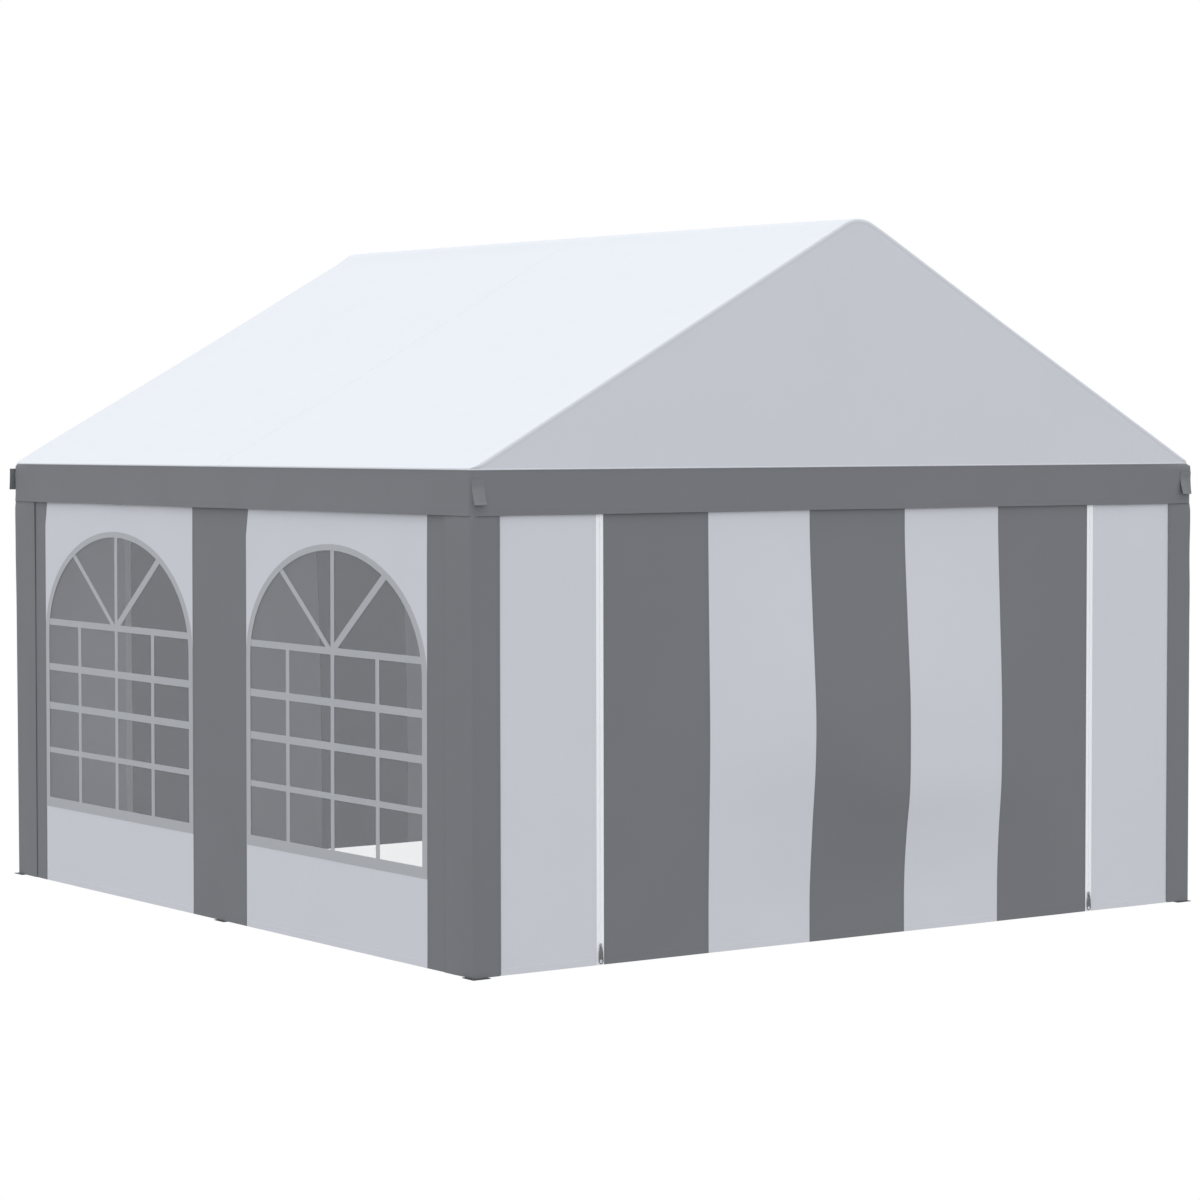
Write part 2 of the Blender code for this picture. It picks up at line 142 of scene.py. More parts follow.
def walk(path, pitch, closed=False):
    # points along a line at one pitch, each with the direction of the line there
    points = [Vector(p) for p in path] + ([Vector(path[0])] if closed else [])
    travelled, due = 0.0, pitch / 2
    for start, end in zip(points, points[1:]):
        length = (end - start).length
        way = (end - start) / max(length, 1e-9)
        while due <= travelled + length:
            yield start + way * (due - travelled), way
            due += pitch
        travelled += length


# Meshes

def addPiece(name, bm, material, slot=None, body="tent", sharpAbove=38):
    bmesh.ops.recalc_face_normals(bm, faces=bm.faces)
    mesh = bpy.data.meshes.new(name)
    bm.to_mesh(mesh)
    bm.free()
    mesh.materials.append(material)
    mesh.shade_smooth()
    mesh.set_sharp_from_angle(angle=math.radians(sharpAbove))
    piece = bpy.data.objects.new(name, mesh)
    bpy.context.scene.collection.objects.link(piece)
    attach(piece, body)
    return piece


def thicken(bm, thickness):
    # gives an open sheet an inner face and edges all round, so that it is one closed body
    bm.normal_update()
    lookOut = sum(f.normal.dot(f.calc_center_median() - tent["middle"]) * f.calc_area() for f in bm.faces)
    if lookOut < 0:
        bmesh.ops.reverse_faces(bm, faces=bm.faces)
        bm.normal_update()
    outer, faces = list(bm.verts), list(bm.faces)
    rims = [e for e in bm.edges if len(e.link_faces) == 1]
    twins = {v: bm.verts.new(v.co - v.normal * thickness) for v in outer}
    for edge in rims:
        a, b = edge.link_loops[0].vert, edge.link_loops[0].link_loop_next.vert
        bm.faces.new((b, a, twins[a], twins[b]))
    for face in faces:
        bm.faces.new([twins[v] for v in reversed(face.verts)])
    return bm


def gridSheet(us, vs, place, thickness, wraps=False):
    # a sheet woven through every place(u, v); wraps joins the last u to the first
    bm = bmesh.new()
    rows = [[bm.verts.new(place(u, v)) for v in vs] for u in us]
    pairs = list(zip(rows, rows[1:])) + ([(rows[-1], rows[0])] if wraps else [])
    for one, two in pairs:
        for i in range(len(vs) - 1):
            bm.faces.new((one[i], two[i], two[i + 1], one[i + 1]))
    return thicken(bm, thickness)


def cutSheet(lines, apart, keep, place, thickness):
    # a sheet cut along lines of (u, v) points, each with its closed flag, and kept where keep(u, v) says so
    points, edges = [], []
    for line, closed in lines:
        corners = [Vector(p) for p in line] + ([Vector(line[0])] if closed else [])
        run = [corners[0]]
        for start, end in zip(corners, corners[1:]):
            count = max(1, math.ceil((end - start).length / apart))
            run += [start.lerp(end, (i + 1) / count) for i in range(count)]
        if closed:
            run.pop()
        first, count = len(points), len(run)
        points += run
        edges += [(first + i, first + (i + 1) % count) for i in range(count if closed else count - 1)]
    cut = np.array(points)
    low, high = cut.min(0), cut.max(0)
    counts = [max(2, round(float(high[k] - low[k]) / apart)) for k in (0, 1)]
    axes = [np.linspace(low[k], high[k], counts[k] + 1) for k in (0, 1)]
    fill = np.stack(np.meshgrid(*axes), -1).reshape(-1, 2)
    nearest = np.full(len(fill), 1e9)
    for a, b in edges:
        start, along = cut[a], cut[b] - cut[a]
        share = np.clip((fill - start) @ along / max(along @ along, 1e-12), 0, 1)
        nearest = np.minimum(nearest, np.linalg.norm(fill - start - share[:, None] * along, axis=1))
    points += [Vector(p) for p in fill[nearest > 0.45 * apart]]  # none too near a cut
    flat, _, triangles, *_ = delaunay_2d_cdt(points, edges, [], 0, 1e-6)
    bm = bmesh.new()
    made = {}
    for triangle in triangles:
        middle = sum((flat[i] for i in triangle), Vector((0, 0))) / 3
        if keep(middle.x, middle.y):
            for i in triangle:
                if i not in made:
                    made[i] = bm.verts.new(place(flat[i].x, flat[i].y))
            bm.faces.new([made[i] for i in triangle])
    return thicken(bm, thickness)


def loft(bm, rings, closed=False):
    # skins a row of rings of points; closed joins the last to the first, or else both ends are capped
    rows = [[bm.verts.new(p) for p in ring] for ring in rings]
    pairs = list(zip(rows, rows[1:])) + ([(rows[-1], rows[0])] if closed else [])
    for one, two in pairs:
        for i in range(len(one)):
            j = (i + 1) % len(one)
            bm.faces.new((one[i], one[j], two[j], two[i]))
    if not closed:
        bm.faces.new(rows[0])
        bm.faces.new(reversed(rows[-1]))


def pour(part, bm):
    # adds one part's mesh to another's
    scratch = bpy.data.meshes.new("scratch")
    part.to_mesh(scratch)
    part.free()
    bm.from_mesh(scratch)
    bpy.data.meshes.remove(scratch)


def circle(radius, count, centre=(0.0, 0.0)):
    turns = [math.tau * i / count for i in range(count)]
    return [(centre[0] + radius * math.cos(turn), centre[1] + radius * math.sin(turn)) for turn in turns]


# Sewing: hems and seams are folds of the cloth, held by rows of stitches

sewing = {
    "pitch": 0.009,           # about 3 stitches per inch, drawn coarse to show
    "length": 0.006,
    "width": 0.0013,
    "height": 0.0006,
    "tuck": 0.0002,           # folds and stitches start this deep in the cloth under them
    "step": 0.04,             # a fold follows its sheet in steps of this length
    "hem": 0.03,              # the walls' hems
    "hemLine": 0.004,         # stitches below a hem's upper edge
    "seam": 0.014,
    "proud": 0.00035,         # a hem or seam stands out this far
    "narrow": 0.0004,         # and is drawn this much narrower, so that it doesn't reach over an edge
}


def layOn(bm, place, path, width, height):
    # a flat fold or tape of cloth laid along a path of (u, v) points on a sheet
    bevel = min(height, width / 4)
    half, tuck = width / 2, sewing["tuck"]
    section = ((-half, -tuck), (bevel - half, height), (half - bevel, height), (half, -tuck))
    fine = [path[0]]
    for start, end in zip(path, path[1:]):
        count = max(1, math.ceil(math.dist(start, end) / sewing["step"]))
        fine += [tuple(a + (b - a) * (i + 1) / count for a, b in zip(start, end)) for i in range(count)]
    rings = []
    for i, (u, v) in enumerate(fine):
        before, after = fine[max(i - 1, 0)], fine[min(i + 1, len(fine) - 1)]
        du, dv = after[0] - before[0], after[1] - before[1]
        size = math.hypot(du, dv)
        rings.append([place(u - dv / size * across, v + du / size * across, out) for across, out in section])
    loft(bm, rings)


def sew(bm, place, path, closed=False, raised=0.0):
    # a row of stitches along a path of (u, v) points on a sheet
    half, side = sewing["length"] / 2, sewing["width"] / 2
    low, top = raised - sewing["tuck"], raised + sewing["height"]
    for point, way in walk(path, sewing["pitch"], closed):
        u, v = point
        tips = [bm.verts.new(place(u + way.x * s, v + way.y * s, low)) for s in (-half, half)]
        flanks = [bm.verts.new(place(u - way.y * s, v + way.x * s, low)) for s in (-side, side)]
        crown = bm.verts.new(place(u, v, top))
        around = (tips[0], flanks[0], tips[1], flanks[1])
        for a, b in zip(around, around[1:] + around[:1]):
            bm.faces.new((a, b, crown))
        bm.faces.new(around[::-1])


def foldOver(trim, place, path, line, width):
    # a hem or seam: a flat fold along a path, with stitches on it along a line; trim is (folds, stitches)
    layOn(trim[0], place, path, width, sewing["proud"])
    sew(trim[1], place, line, raised=sewing["proud"])


def hemFoot(trim, place, one, two):
    # the hem along a wall's foot, from one place to another
    middle = tent["hem"] + sewing["hem"] / 2
    line = tent["hem"] + sewing["hem"] - sewing["hemLine"]
    path, stitches = [(one, middle), (two, middle)], [(one, line), (two, line)]
    foldOver(trim, place, path, stitches, sewing["hem"] - sewing["narrow"])


def addTrims(trim, foldName, rowName, colour, slot):
    # a sheet's folds in its own cloth, and their stitches in thread of its colour
    folds = addPiece(foldName, trim[0], look[colour], slot, sharpAbove=30)
    return [folds, addPiece(rowName, trim[1], look[colour + "Thread"])]


def tube(bm, start, end, radius, segments=20):
    start, end = Vector(start), Vector(end)
    turn = (end - start).to_track_quat("Z", "Y").to_matrix().to_4x4()
    place = Matrix.Translation((start + end) / 2) @ turn
    bmesh.ops.create_cone(
        bm, cap_ends=True, segments=segments, radius1=radius, radius2=radius,
        depth=(end - start).length, matrix=place,
    )


# Materials

def linear(hexColour):
    # sRGB hex to the linear values that a shader takes
    parts = [int(hexColour[i:i + 2], 16) / 255 for i in (0, 2, 4)]
    return (*[p / 12.92 if p <= 0.04045 else ((p + 0.055) / 1.055) ** 2.4 for p in parts], 1.0)


def startMaterial(name, colour, roughness, metallic=0.0):
    # gives the material, its shader, and the place on the object that its patterns are laid out by
    made = bpy.data.materials.new(name)
    made.use_nodes = True
    shader = made.node_tree.nodes["Principled BSDF"]
    shader.inputs["Base Color"].default_value = linear(colour)
    shader.inputs["Roughness"].default_value = roughness
    shader.inputs["Metallic"].default_value = metallic
    return made, shader, addNode(made, "TexCoord").outputs["Object"]


def addNode(material, kind, values=None, links=None, feeds=None):
    # values are its settings and sockets; links feed it, from a socket or from a node's first output;
    # and its own first output feeds the socket named last
    tree = material.node_tree
    node = tree.nodes.new("ShaderNode" + kind)
    for key, value in (values or {}).items():
        if isinstance(key, int) or key in node.inputs:
            node.inputs[key].default_value = value
        else:
            setattr(node, key, value)
    for key, source in (links or {}).items():
        socket = source.outputs[0] if isinstance(source, bpy.types.Node) else source
        tree.links.new(socket, node.inputs[key])
    if feeds:
        tree.links.new(node.outputs[0], feeds)
    return node


clothLook = {
    "tape": 8.0,              # mm; the real ones are about 2.5, drawn coarser so that the grain just shows
    "cloud": 330.0,           # mm, soft clouding in the laminate
    "crease": 70.0,           # mm, faint handling creases
    "roughness": 0.52,
    "uneven": 0.07,           # the roughness varies this much either way
    "tapeDepth": 0.00022,
    "creaseDepth": 0.0011,
}


def tarpaulin(name, colour, cloudColour, warpWay, weftWay):
    # Woven polyethylene tarpaulin, laminated both sides: a crossed tape grain under a dull, waxy skin.
    dull, uneven = clothLook["roughness"], clothLook["uneven"]
    cloth, shader, where = startMaterial(name, colour, dull)
    shader.inputs["IOR"].default_value = 1.5
    shader.inputs["Specular IOR Level"].default_value = 0.25
    counts, rounds = [], []
    for way in (warpWay, weftWay):
        scaled = [1000 / clothLook["tape"] * w for w in way]
        count = addNode(cloth, "VectorMath", {"operation": "DOT_PRODUCT", 1: scaled}, {0: where})
        counts.append(count.outputs["Value"])
        turn = addNode(cloth, "Math", {"operation": "MULTIPLY", 1: math.pi}, {0: counts[-1]})
        wave = addNode(cloth, "Math", {"operation": "SINE"}, {0: turn})
        rounds.append(addNode(cloth, "Math", {"operation": "ABSOLUTE"}, {0: wave}))
    cell = addNode(cloth, "CombineXYZ", {"Z": 0.5}, {"X": counts[0], "Y": counts[1]})
    over = addNode(cloth, "TexChecker", {"Scale": 1.0}, {"Vector": cell})
    weave = addNode(cloth, "Mix", {"data_type": "FLOAT"},
                    {0: over.outputs["Fac"], 2: rounds[0], 3: rounds[1]})
    cloud = addNode(cloth, "TexNoise",
                    {"Scale": 1000 / clothLook["cloud"], "Detail": 4.0, "Roughness": 0.6}, {"Vector": where})
    tint = addNode(cloth, "Mix", {"data_type": "RGBA", 6: linear(colour), 7: linear(cloudColour)},
                   {0: cloud})
    cloth.node_tree.links.new(tint.outputs[2], shader.inputs["Base Color"])
    addNode(cloth, "MapRange", {"To Min": dull - uneven, "To Max": dull + uneven},
            {"Value": cloud}, shader.inputs["Roughness"])
    crease = addNode(cloth, "TexNoise", {"Scale": 1000 / clothLook["crease"], "Detail": 2.0,
                                         "Distortion": 0.6}, {"Vector": where})
    soft = addNode(cloth, "Bump", {"Strength": 0.35, "Distance": clothLook["creaseDepth"]},
                   {"Height": crease})
    addNode(cloth, "Bump", {"Strength": 0.5, "Distance": clothLook["tapeDepth"]},
            {"Height": weave, "Normal": soft}, shader.inputs["Normal"])
    return cloth


def clearFilm():
    # Calendered PVC film, slightly hazed and rippled every 140 mm or so: it veils what is behind it.
    film, shader, where = startMaterial("clearPvcFilm", "d4d7de", 0.22)
    shader.inputs["Alpha"].default_value = 0.174
    shader.inputs["IOR"].default_value = 1.53
    ripple = addNode(film, "TexNoise", {"Scale": 7.0, "Detail": 1.5}, {"Vector": where})
    addNode(film, "Bump", {"Strength": 0.4, "Distance": 0.004}, {"Height": ripple},
            shader.inputs["Normal"])
    film.blend_method = "BLEND"
    return film


def weldedStrip():
    # White PVC strip, heat welded: smooth, with a faint fine emboss from the welding roller.
    strip, shader, where = startMaterial("weldedPvcStrip", "adb0b6", 0.42)
    emboss = addNode(strip, "TexNoise", {"Scale": 1000 / 6.0, "Detail": 1.0}, {"Vector": where})
    addNode(strip, "Bump", {"Strength": 0.3, "Distance": 0.0002}, {"Height": emboss},
            shader.inputs["Normal"])
    return strip


def ribbedTape(name, colour, ribMm, way, ribDepth=0.0005):
    # Woven tape or webbing: close ribs across its length give it a dull, soft light.
    tape, shader, where = startMaterial(name, colour, 0.6)
    scaled = [math.tau * 1000 / ribMm * w for w in way]
    turn = addNode(tape, "VectorMath", {"operation": "DOT_PRODUCT", 1: scaled}, {0: where})
    rib = addNode(tape, "Math", {"operation": "SINE"}, {0: turn.outputs["Value"]})
    addNode(tape, "Bump", {"Strength": 0.6, "Distance": ribDepth}, {"Height": rib},
            shader.inputs["Normal"])
    return tape


def galvanisedSteel():
    # Galvanised steel tube: dull zinc with a faint spangle of crystals, each catching the light its own way.
    steel, shader, where = startMaterial("galvanisedSteelTube", "b9bdc0", 0.4, 1.0)
    spangle = addNode(steel, "TexVoronoi", {"Scale": 1000 / 12.0}, {"Vector": where})
    grey = addNode(steel, "SeparateColor", None, {0: spangle.outputs["Color"]})
    addNode(steel, "MapRange", {"To Min": 0.32, "To Max": 0.5}, {"Value": grey},
            shader.inputs["Roughness"])
    tint = addNode(steel, "Mix", {"data_type": "RGBA", 6: linear("adb2b6"), 7: linear("c6cacc")},
                   {0: grey.outputs[1]})
    steel.node_tree.links.new(tint.outputs[2], shader.inputs["Base Color"])
    return steel


def paintedFootShade():
    # Dark colour on the foot plates, painted shade that stands for the shadow at the tent's foot: a soft
    # shine, its roughness uneven in patches.
    paint, shader, where = startMaterial("darkFootPaintedShade", "4c4f52", 0.45)
    run = addNode(paint, "TexNoise", {"Scale": 1000 / 18.0, "Detail": 3.0}, {"Vector": where})
    addNode(paint, "MapRange", {"To Min": 0.35, "To Max": 0.6}, {"Value": run},
            shader.inputs["Roughness"])
    return paint


def castZinc(name, colour, roughness):
    # Zinc alloy, die cast and plated: it shines softly, with a slight orange-peel from the mould.
    zinc, shader, where = startMaterial(name, colour, roughness, 1.0)
    peel = addNode(zinc, "TexNoise", {"Scale": 1000 / 1.5, "Detail": 2.0}, {"Vector": where})
    addNode(zinc, "Bump", {"Strength": 0.25, "Distance": 0.0001}, {"Height": peel},
            shader.inputs["Normal"])
    return zinc


alongWalls, upWalls = (1, 1, 0), (0, 0, 1)  # round a corner the grain runs on without a break
look = {
    "roof": tarpaulin("whiteTarpaulinRoof", "d2d6dd", "cfd3da", (1 / math.cos(slope), 0, 0), (0, 1, 0)),
    "white": tarpaulin("whiteTarpaulin", "d2d5dd", "ced1d9", alongWalls, upWalls),
    "grey": tarpaulin("greyTarpaulin", "777a7f", "75777c", alongWalls, upWalls),
    "film": clearFilm(),
    "strip": weldedStrip(),
    "zipTape": ribbedTape("zipTape", "f8fbff", 2.0, upWalls, 0.0002),
    "webbing": ribbedTape("greyWebbing", "7b7e82", 2.5, upWalls),
    "whiteThread": ribbedTape("whitePolyesterThread", "e6e9ee", 1.5, (1, 1, 1)),
    "greyThread": ribbedTape("greyPolyesterThread", "6c6f73", 1.5, (1, 1, 1)),
    "steel": galvanisedSteel(),
    # the foot plates' dark colour is painted shade
    "paintedFootShade": paintedFootShade(),
    "zinc": castZinc("brightZincPlate", "b6b7b9", 0.3),
    "gunmetal": castZinc("gunmetalZincPlate", "85878b", 0.38),
}
print("materials made")


# Where each sheet hangs. Each place function gives a point on the outer face of its sheet.

wallHang = {
    "lean": 0.007,            # the side walls' hems stand this far out
    "leanReach": 0.15,        # from the bend at the corner
    "fold": 0.0026,           # slack in the walls
    "foldWidth": 0.34,
    "foldHeight": 1.3,
    "outward": 0.45,          # the slack hangs more out than in
    "fade": 0.22,             # the slack dies away this near a cover, zip or valance
    "shift": 0.008,           # the windows and stripes are sewn this far off the middle leg
    "shiftFade": 0.3,
    "skew": 0.0042,           # and a little out of level, above the windows' sills
    "skewFrom": 0.3,
    "skewReach": 0.9,
}
seeds = {"side": 3.1, "end": 8.4, "roof": 1.7, "gable": 5.2, "valance": 2.3, "valanceEdge": 7.9}
bendY = coverHigh.y - tent["cornerRadius"]
bendX = coverHigh.x - tent["cornerRadius"]
coverEdgeX = coverLow.x
coverEdgeY = coverLow.y
cornerStand = {
    # by (side, end), as (height, stand) stations: how far the cloth stands off each corner leg
    "valance": {
        (-1, -1): ((1.871, 0.0065), (2.02, 0.006), (2.057, 0.004)),
        (1, -1): ((1.871, 0.008), (1.905, 0.009), (1.98, 0.0105), (2.045, 0.0115), (2.057, -0.0015)),
        (-1, 1): ((1.871, 0.0042), (1.905, 0.0032), (2.045, 0.0032), (2.057, -0.004)),
        (1, 1): ((1.871, 0.0075), (2.02, 0.0075), (2.057, 0.004)),
    },
    "cover": {
        (-1, -1): ((1.8, 0.003), (1.9, 0.0025)),
        (1, -1): ((1.45, 0.009), (1.62, 0.0065), (1.86, 0.0055), (1.89, 0.001)),
        (-1, 1): ((1.58, 0.002), (1.74, 0.0003), (1.85, -0.0006), (1.89, -0.0015)),
        (1, 1): ((1.8, 0.005), (1.9, 0.003)),
    },
}


def leanAt(fromBend, z):
    down = max(0.0, 1 - z / tent["valanceBottom"])
    return wallHang["lean"] * down * smooth(fromBend / wallHang["leanReach"])


def slackAt(along, z, fade, seed):
    fold = noise.noise(Vector((along / wallHang["foldWidth"], z / wallHang["foldHeight"], seed)))
    fade *= smooth((tent["valanceBottom"] - z) / wallHang["fade"])
    return wallHang["fold"] * (fold + wallHang["outward"]) * fade


def sidePoint(side, y, z, out=0.0):
    # the right wall repeats the left one, turned half round
    fade = smooth((coverEdgeY - abs(y)) / wallHang["fade"])
    proud = leanAt(bendY - abs(y), z) + slackAt(-side * y, z, fade, seeds["side"]) + out
    shift = wallHang["shift"] * smooth((tent["wallEndY"] - abs(y)) / wallHang["shiftFade"])
    rise = -side * y * wallHang["skew"] * smooth((z - wallHang["skewFrom"]) / wallHang["skewReach"])
    return Vector((side * (tent["wallX"] + proud), y - side * shift, z + rise))


door = {
    "billow": {-1: 0.047, 1: -0.06},       # how far the cloth swings out at the front, and in at the back
    "across": ((-1.31, 0), (-0.8125, 0.26), (-0.2673, 1.0), (0.2673, 0.96), (0.8125, 0.64), (1.31, 0)),
    "up": {
        -1: ((0.16, 0), (0.5, 0.42), (0.75, 0.88), (0.96, 1.0), (1.16, 0.8), (1.42, 0.42), (1.8, 0)),
        1: ((0.0, 0.95), (0.45, 1.0), (0.9, 0.86), (1.3, 0.55), (1.8, 0)),
    },
    "droop": 0.15,            # the right half swings out lower down
    "droopAcross": 0.54,
    "droopHeight": 0.7,
    "droopReach": 0.4,
    "stripes": (0.2673, 0.8125),
}


def endPoint(end, x, z, out=0.0):
    across = -end * x
    droop = door["droop"] * smooth(across / door["droopAcross"] + 0.5)
    droop *= smooth(1 - abs(z - door["droopHeight"]) / door["droopReach"])
    billow = door["billow"][end] * flow(door["across"], across) * flow(door["up"][end], z + droop)
    toZip = tent["zipInner"] - abs(x) if abs(x) < tent["zipOuter"] else abs(x) - tent["zipOuter"]
    fade = smooth(toZip / wallHang["fade"]) * smooth((coverEdgeX - abs(x)) / wallHang["fade"])
    proud = billow + slackAt(across, z, fade, seeds["end"]) + out
    return Vector((x, end * (tent["wallY"] + proud), z))


cover = {
    "round": 0.009,           # its lower corners
    "top": 2.045,
    "hem": 0.013,
    "hemLine": 0.003,
    # the cloth swells out just under the valance, to meet its edge
    "lip": ((1.3, 0.0), (1.62, 0.0022), (1.84, 0.0052), (1.875, 0.0026), (1.905, 0.0)),
    "lipFade": 1.4,           # and does so less near the cover's edges
}
coverHalfBend = tent["cornerRadius"] * math.pi / 4
coverReach = (bendY - coverEdgeY, bendX - coverEdgeX)  # from the bend to the side and the gable edge


def coverPoint(side, end, u, z, out=0.0):
    # u runs from the side leaf, below zero, round the bend to the gable leaf
    onLeaf = max(0.0, abs(u) - coverHalfBend)
    share = onLeaf / coverReach[u > 0]
    stand = flow(cornerStand["cover"][side, end], z) * (1 - share)
    proud = tent["cornerRadius"] + out + flow(cover["lip"], z) * smooth(cover["lipFade"] - share)
    if not onLeaf:
        turn = math.pi / 4 + u / tent["cornerRadius"]
        x, y = stand + proud * math.cos(turn), stand + proud * math.sin(turn)
    elif u > 0:
        x, y = stand - onLeaf, stand + proud
    else:
        x, y = stand + proud + leanAt(onLeaf, z), stand - onLeaf
    return Vector((side * (bendX + x), end * (bendY + y), z))


roofHang = {
    "sag": 0.008,             # between the rafters, at mid slope
    "ripple": 0.0012,
    "rippleSize": 0.5,
    "rakeOut": 0.008,         # the rounding over the gable: how far in it starts
    "rakeDown": 0.014,        # and how far down it ends
    "lap": 0.012,             # the straight lap below, welded flat to the gable
    "proud": 0.0012,          # the lap starts this far outside the gable and dies into it
    # one slope's front rake swells a little beside the ridge
    "swell": ((0.0, 0.001), (0.12, 0.0062), (0.27, 0.0055), (0.57, 0.0025), (0.85, 0.0)),
    "climb": 0.013,           # the roof stands this much higher at the back, near the ridge
    "climbReach": 1.2,
    "climbCurve": 0.7,
    "peak": 0.017,            # and its ridge seam this much more
    "peakReach": 0.12,
    "cornerReach": 0.25,      # the corners' stand dies away over this length
    # distances from the eaves at which the sheet is divided, close where the corners are rounded
    "edgeSteps": (0, 0.0015, 0.005, 0.01, 0.017, 0.026, 0.038, 0.055, 0.08),
    "seam": 0.022,
    "seamProud": 0.0009,
    "seamShort": 0.004,       # it stops before the eaves
    "seamLine": 0.007,        # each row of stitches, off the ridge
}
gableHang = {
    "fold": 0.0016,
    "foldSize": (0.6, 0.5, 0.4),
    "fade": 0.25,
    "climbReach": 0.4,        # the climb of the roof draws this much of the gable up with it
    "under": 0.004,           # its upper edge lies this far below the rounding, under the lap
    "above": 0.0003,          # and its foot this far above the valance
    "fills": 0.52,            # of the rectangle round it
}
arcHalf = tent["ridgeRadius"] * slope
arcCentre = tent["ridge"] - tent["ridgeRadius"] / math.cos(slope)
roofReach = arcHalf + (tent["halfWidth"] - tent["ridgeRadius"] * math.sin(slope)) / math.cos(slope)
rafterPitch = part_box("leg_back_right")[1].y - tent["footHalf"]


def roofLine(s):
    # the roof's profile: x, z and the normal at a distance from the ridge, left below zero
    t, sign = abs(s), math.copysign(1, s)
    turn = min(t / tent["ridgeRadius"], slope)
    run = max(0.0, t - arcHalf)
    x = tent["ridgeRadius"] * math.sin(turn) + run * math.cos(slope)
    z = arcCentre + tent["ridgeRadius"] * math.cos(turn) - run * math.sin(slope)
    return sign * x, z, sign * math.sin(turn), math.cos(turn)


def cornerPush(x, y, z):
    # how far the upper sheets are drawn out along x and y by the corners' stand
    side, end = int(math.copysign(1, x)), int(math.copysign(1, y))
    onFace = max(0.0, bendX - abs(x), bendY - abs(y))
    near = max(0.0, 1 - onFace / roofHang["cornerReach"])
    push = flow(cornerStand["valance"][side, end], z) * near**2
    return Vector((side * push, end * push, 0))


def climbAt(x, y):
    share = min(1.0, max(0.0, (y / tent["halfDepth"] + 1) / 2)) ** roofHang["climbCurve"]
    wide = roofHang["climb"] * smooth(1 - abs(x) / roofHang["climbReach"])
    peak = roofHang["peak"] * smooth(1 - abs(x) / roofHang["peakReach"])
    return share * (wide + peak) + (1 - share) * flow(roofHang["swell"], x)


def roofPoint(s, y, out=0.0):
    x, z, nx, nz = roofLine(s)
    share = min(1.0, max(0.0, (abs(s) - arcHalf) / (roofReach - arcHalf)))
    loose = math.sin(math.pi * y / rafterPitch) ** 2 * math.sin(math.pi * share)
    size = roofHang["rippleSize"]
    ripple = roofHang["ripple"] * noise.noise(Vector((s / size, y / size, seeds["roof"])))
    lift = out + loose * (ripple - roofHang["sag"])
    return Vector((x + nx * lift, y, z + nz * lift + climbAt(x, y))) + cornerPush(x, y, z)


def gablePoint(end, x, z, out=0.0):
    wide, mid, high = gableHang["foldSize"]
    fold = noise.noise(Vector((x / wide + z / mid, z / high, seeds["gable"] * end)))
    toRake = (tent["ridge"] - abs(x) * math.tan(slope) - z) * math.cos(slope)
    inside = smooth(toRake / gableHang["fade"]) * smooth((z - tent["eaves"]) / gableHang["fade"])
    y = end * (tent["halfDepth"] + gableHang["fold"] * fold * inside + out)
    climb = climbAt(x, end * tent["halfDepth"]) * smooth(1.1 - toRake / gableHang["climbReach"])
    return Vector((x, y, z + climb)) + cornerPush(x, y, z)


def ringLoop(inset, apart=0.06, steps=8):
    # a rounded rectangle round the tent: its points with their outward directions
    radius = tent["topRadius"] - inset
    x, y = tent["halfWidth"] - tent["topRadius"], tent["halfDepth"] - tent["topRadius"]
    corners = ((x, y), (-x, y), (-x, -y), (x, -y))
    made = []
    for quarter, (cx, cy) in enumerate(corners):
        for i in range(steps + 1):
            turn = (quarter + i / steps) * math.pi / 2
            nx, ny = math.cos(turn), math.sin(turn)
            made.append((cx + radius * nx, cy + radius * ny, nx, ny))
        px, py, nx, ny = made[-1]
        length = math.dist((cx, cy), corners[(quarter + 1) % 4])
        count = math.ceil(length / apart)
        for i in range(1, count):
            made.append((px - ny * length * i / count, py + nx * length * i / count, nx, ny))
    return made


ringPoints = ringLoop(0)
ringWay = [0.0]
for one, two in zip(ringPoints, ringPoints[1:] + ringPoints[:1]):
    ringWay.append(ringWay[-1] + math.dist(one[:2], two[:2]))

valanceHang = {
    "sideFlare": 0.01,
    "gableFlare": 0.004,
    "cornerFlare": 0.0015,    # it hugs the corner covers
    "flareCurve": 1.2,
    "fade": 0.5,
    "wave": 0.0026,
    "waveSize": 0.5,
    "edgeWave": 0.0022,
    "hem": 0.022,
    "topLine": 0.012,         # the upper row of stitches, under the roof's edge
    "tuck": 0.0005,           # its upper edge is this far under the roof's
    "turn": 0.011,            # where it has turned down from it
}


def valancePoint(u, z, out=0.0):
    # u is the way round the tent
    u %= ringWay[-1]
    i = min(bisect.bisect_right(ringWay, u) - 1, len(ringPoints) - 1)
    t = (u - ringWay[i]) / (ringWay[i + 1] - ringWay[i])
    one, two = ringPoints[i], ringPoints[(i + 1) % len(ringPoints)]
    x, y, nx, ny = (a + (b - a) * t for a, b in zip(one, two))
    down = max(0.0, (tent["valanceTop"] - z) / (tent["valanceTop"] - tent["valanceBottom"]))
    fromCorner = smooth(max(bendX - abs(x), bendY - abs(y)) / valanceHang["fade"])
    full = valanceHang["sideFlare" if abs(nx) > abs(ny) else "gableFlare"]
    flare = valanceHang["cornerFlare"] + (full - valanceHang["cornerFlare"]) * fromCorner
    size = valanceHang["waveSize"]
    wave = valanceHang["wave"] * fromCorner * noise.noise(Vector((x / size, y / size, seeds["valance"])))
    dip = valanceHang["edgeWave"] * noise.noise(Vector((x / size, y / size, seeds["valanceEdge"])))
    proud = (flare + wave) * down ** valanceHang["flareCurve"] + out
    return Vector((x + nx * proud, y + ny * proud, z + dip * down)) + cornerPush(x, y, z)


# Roof

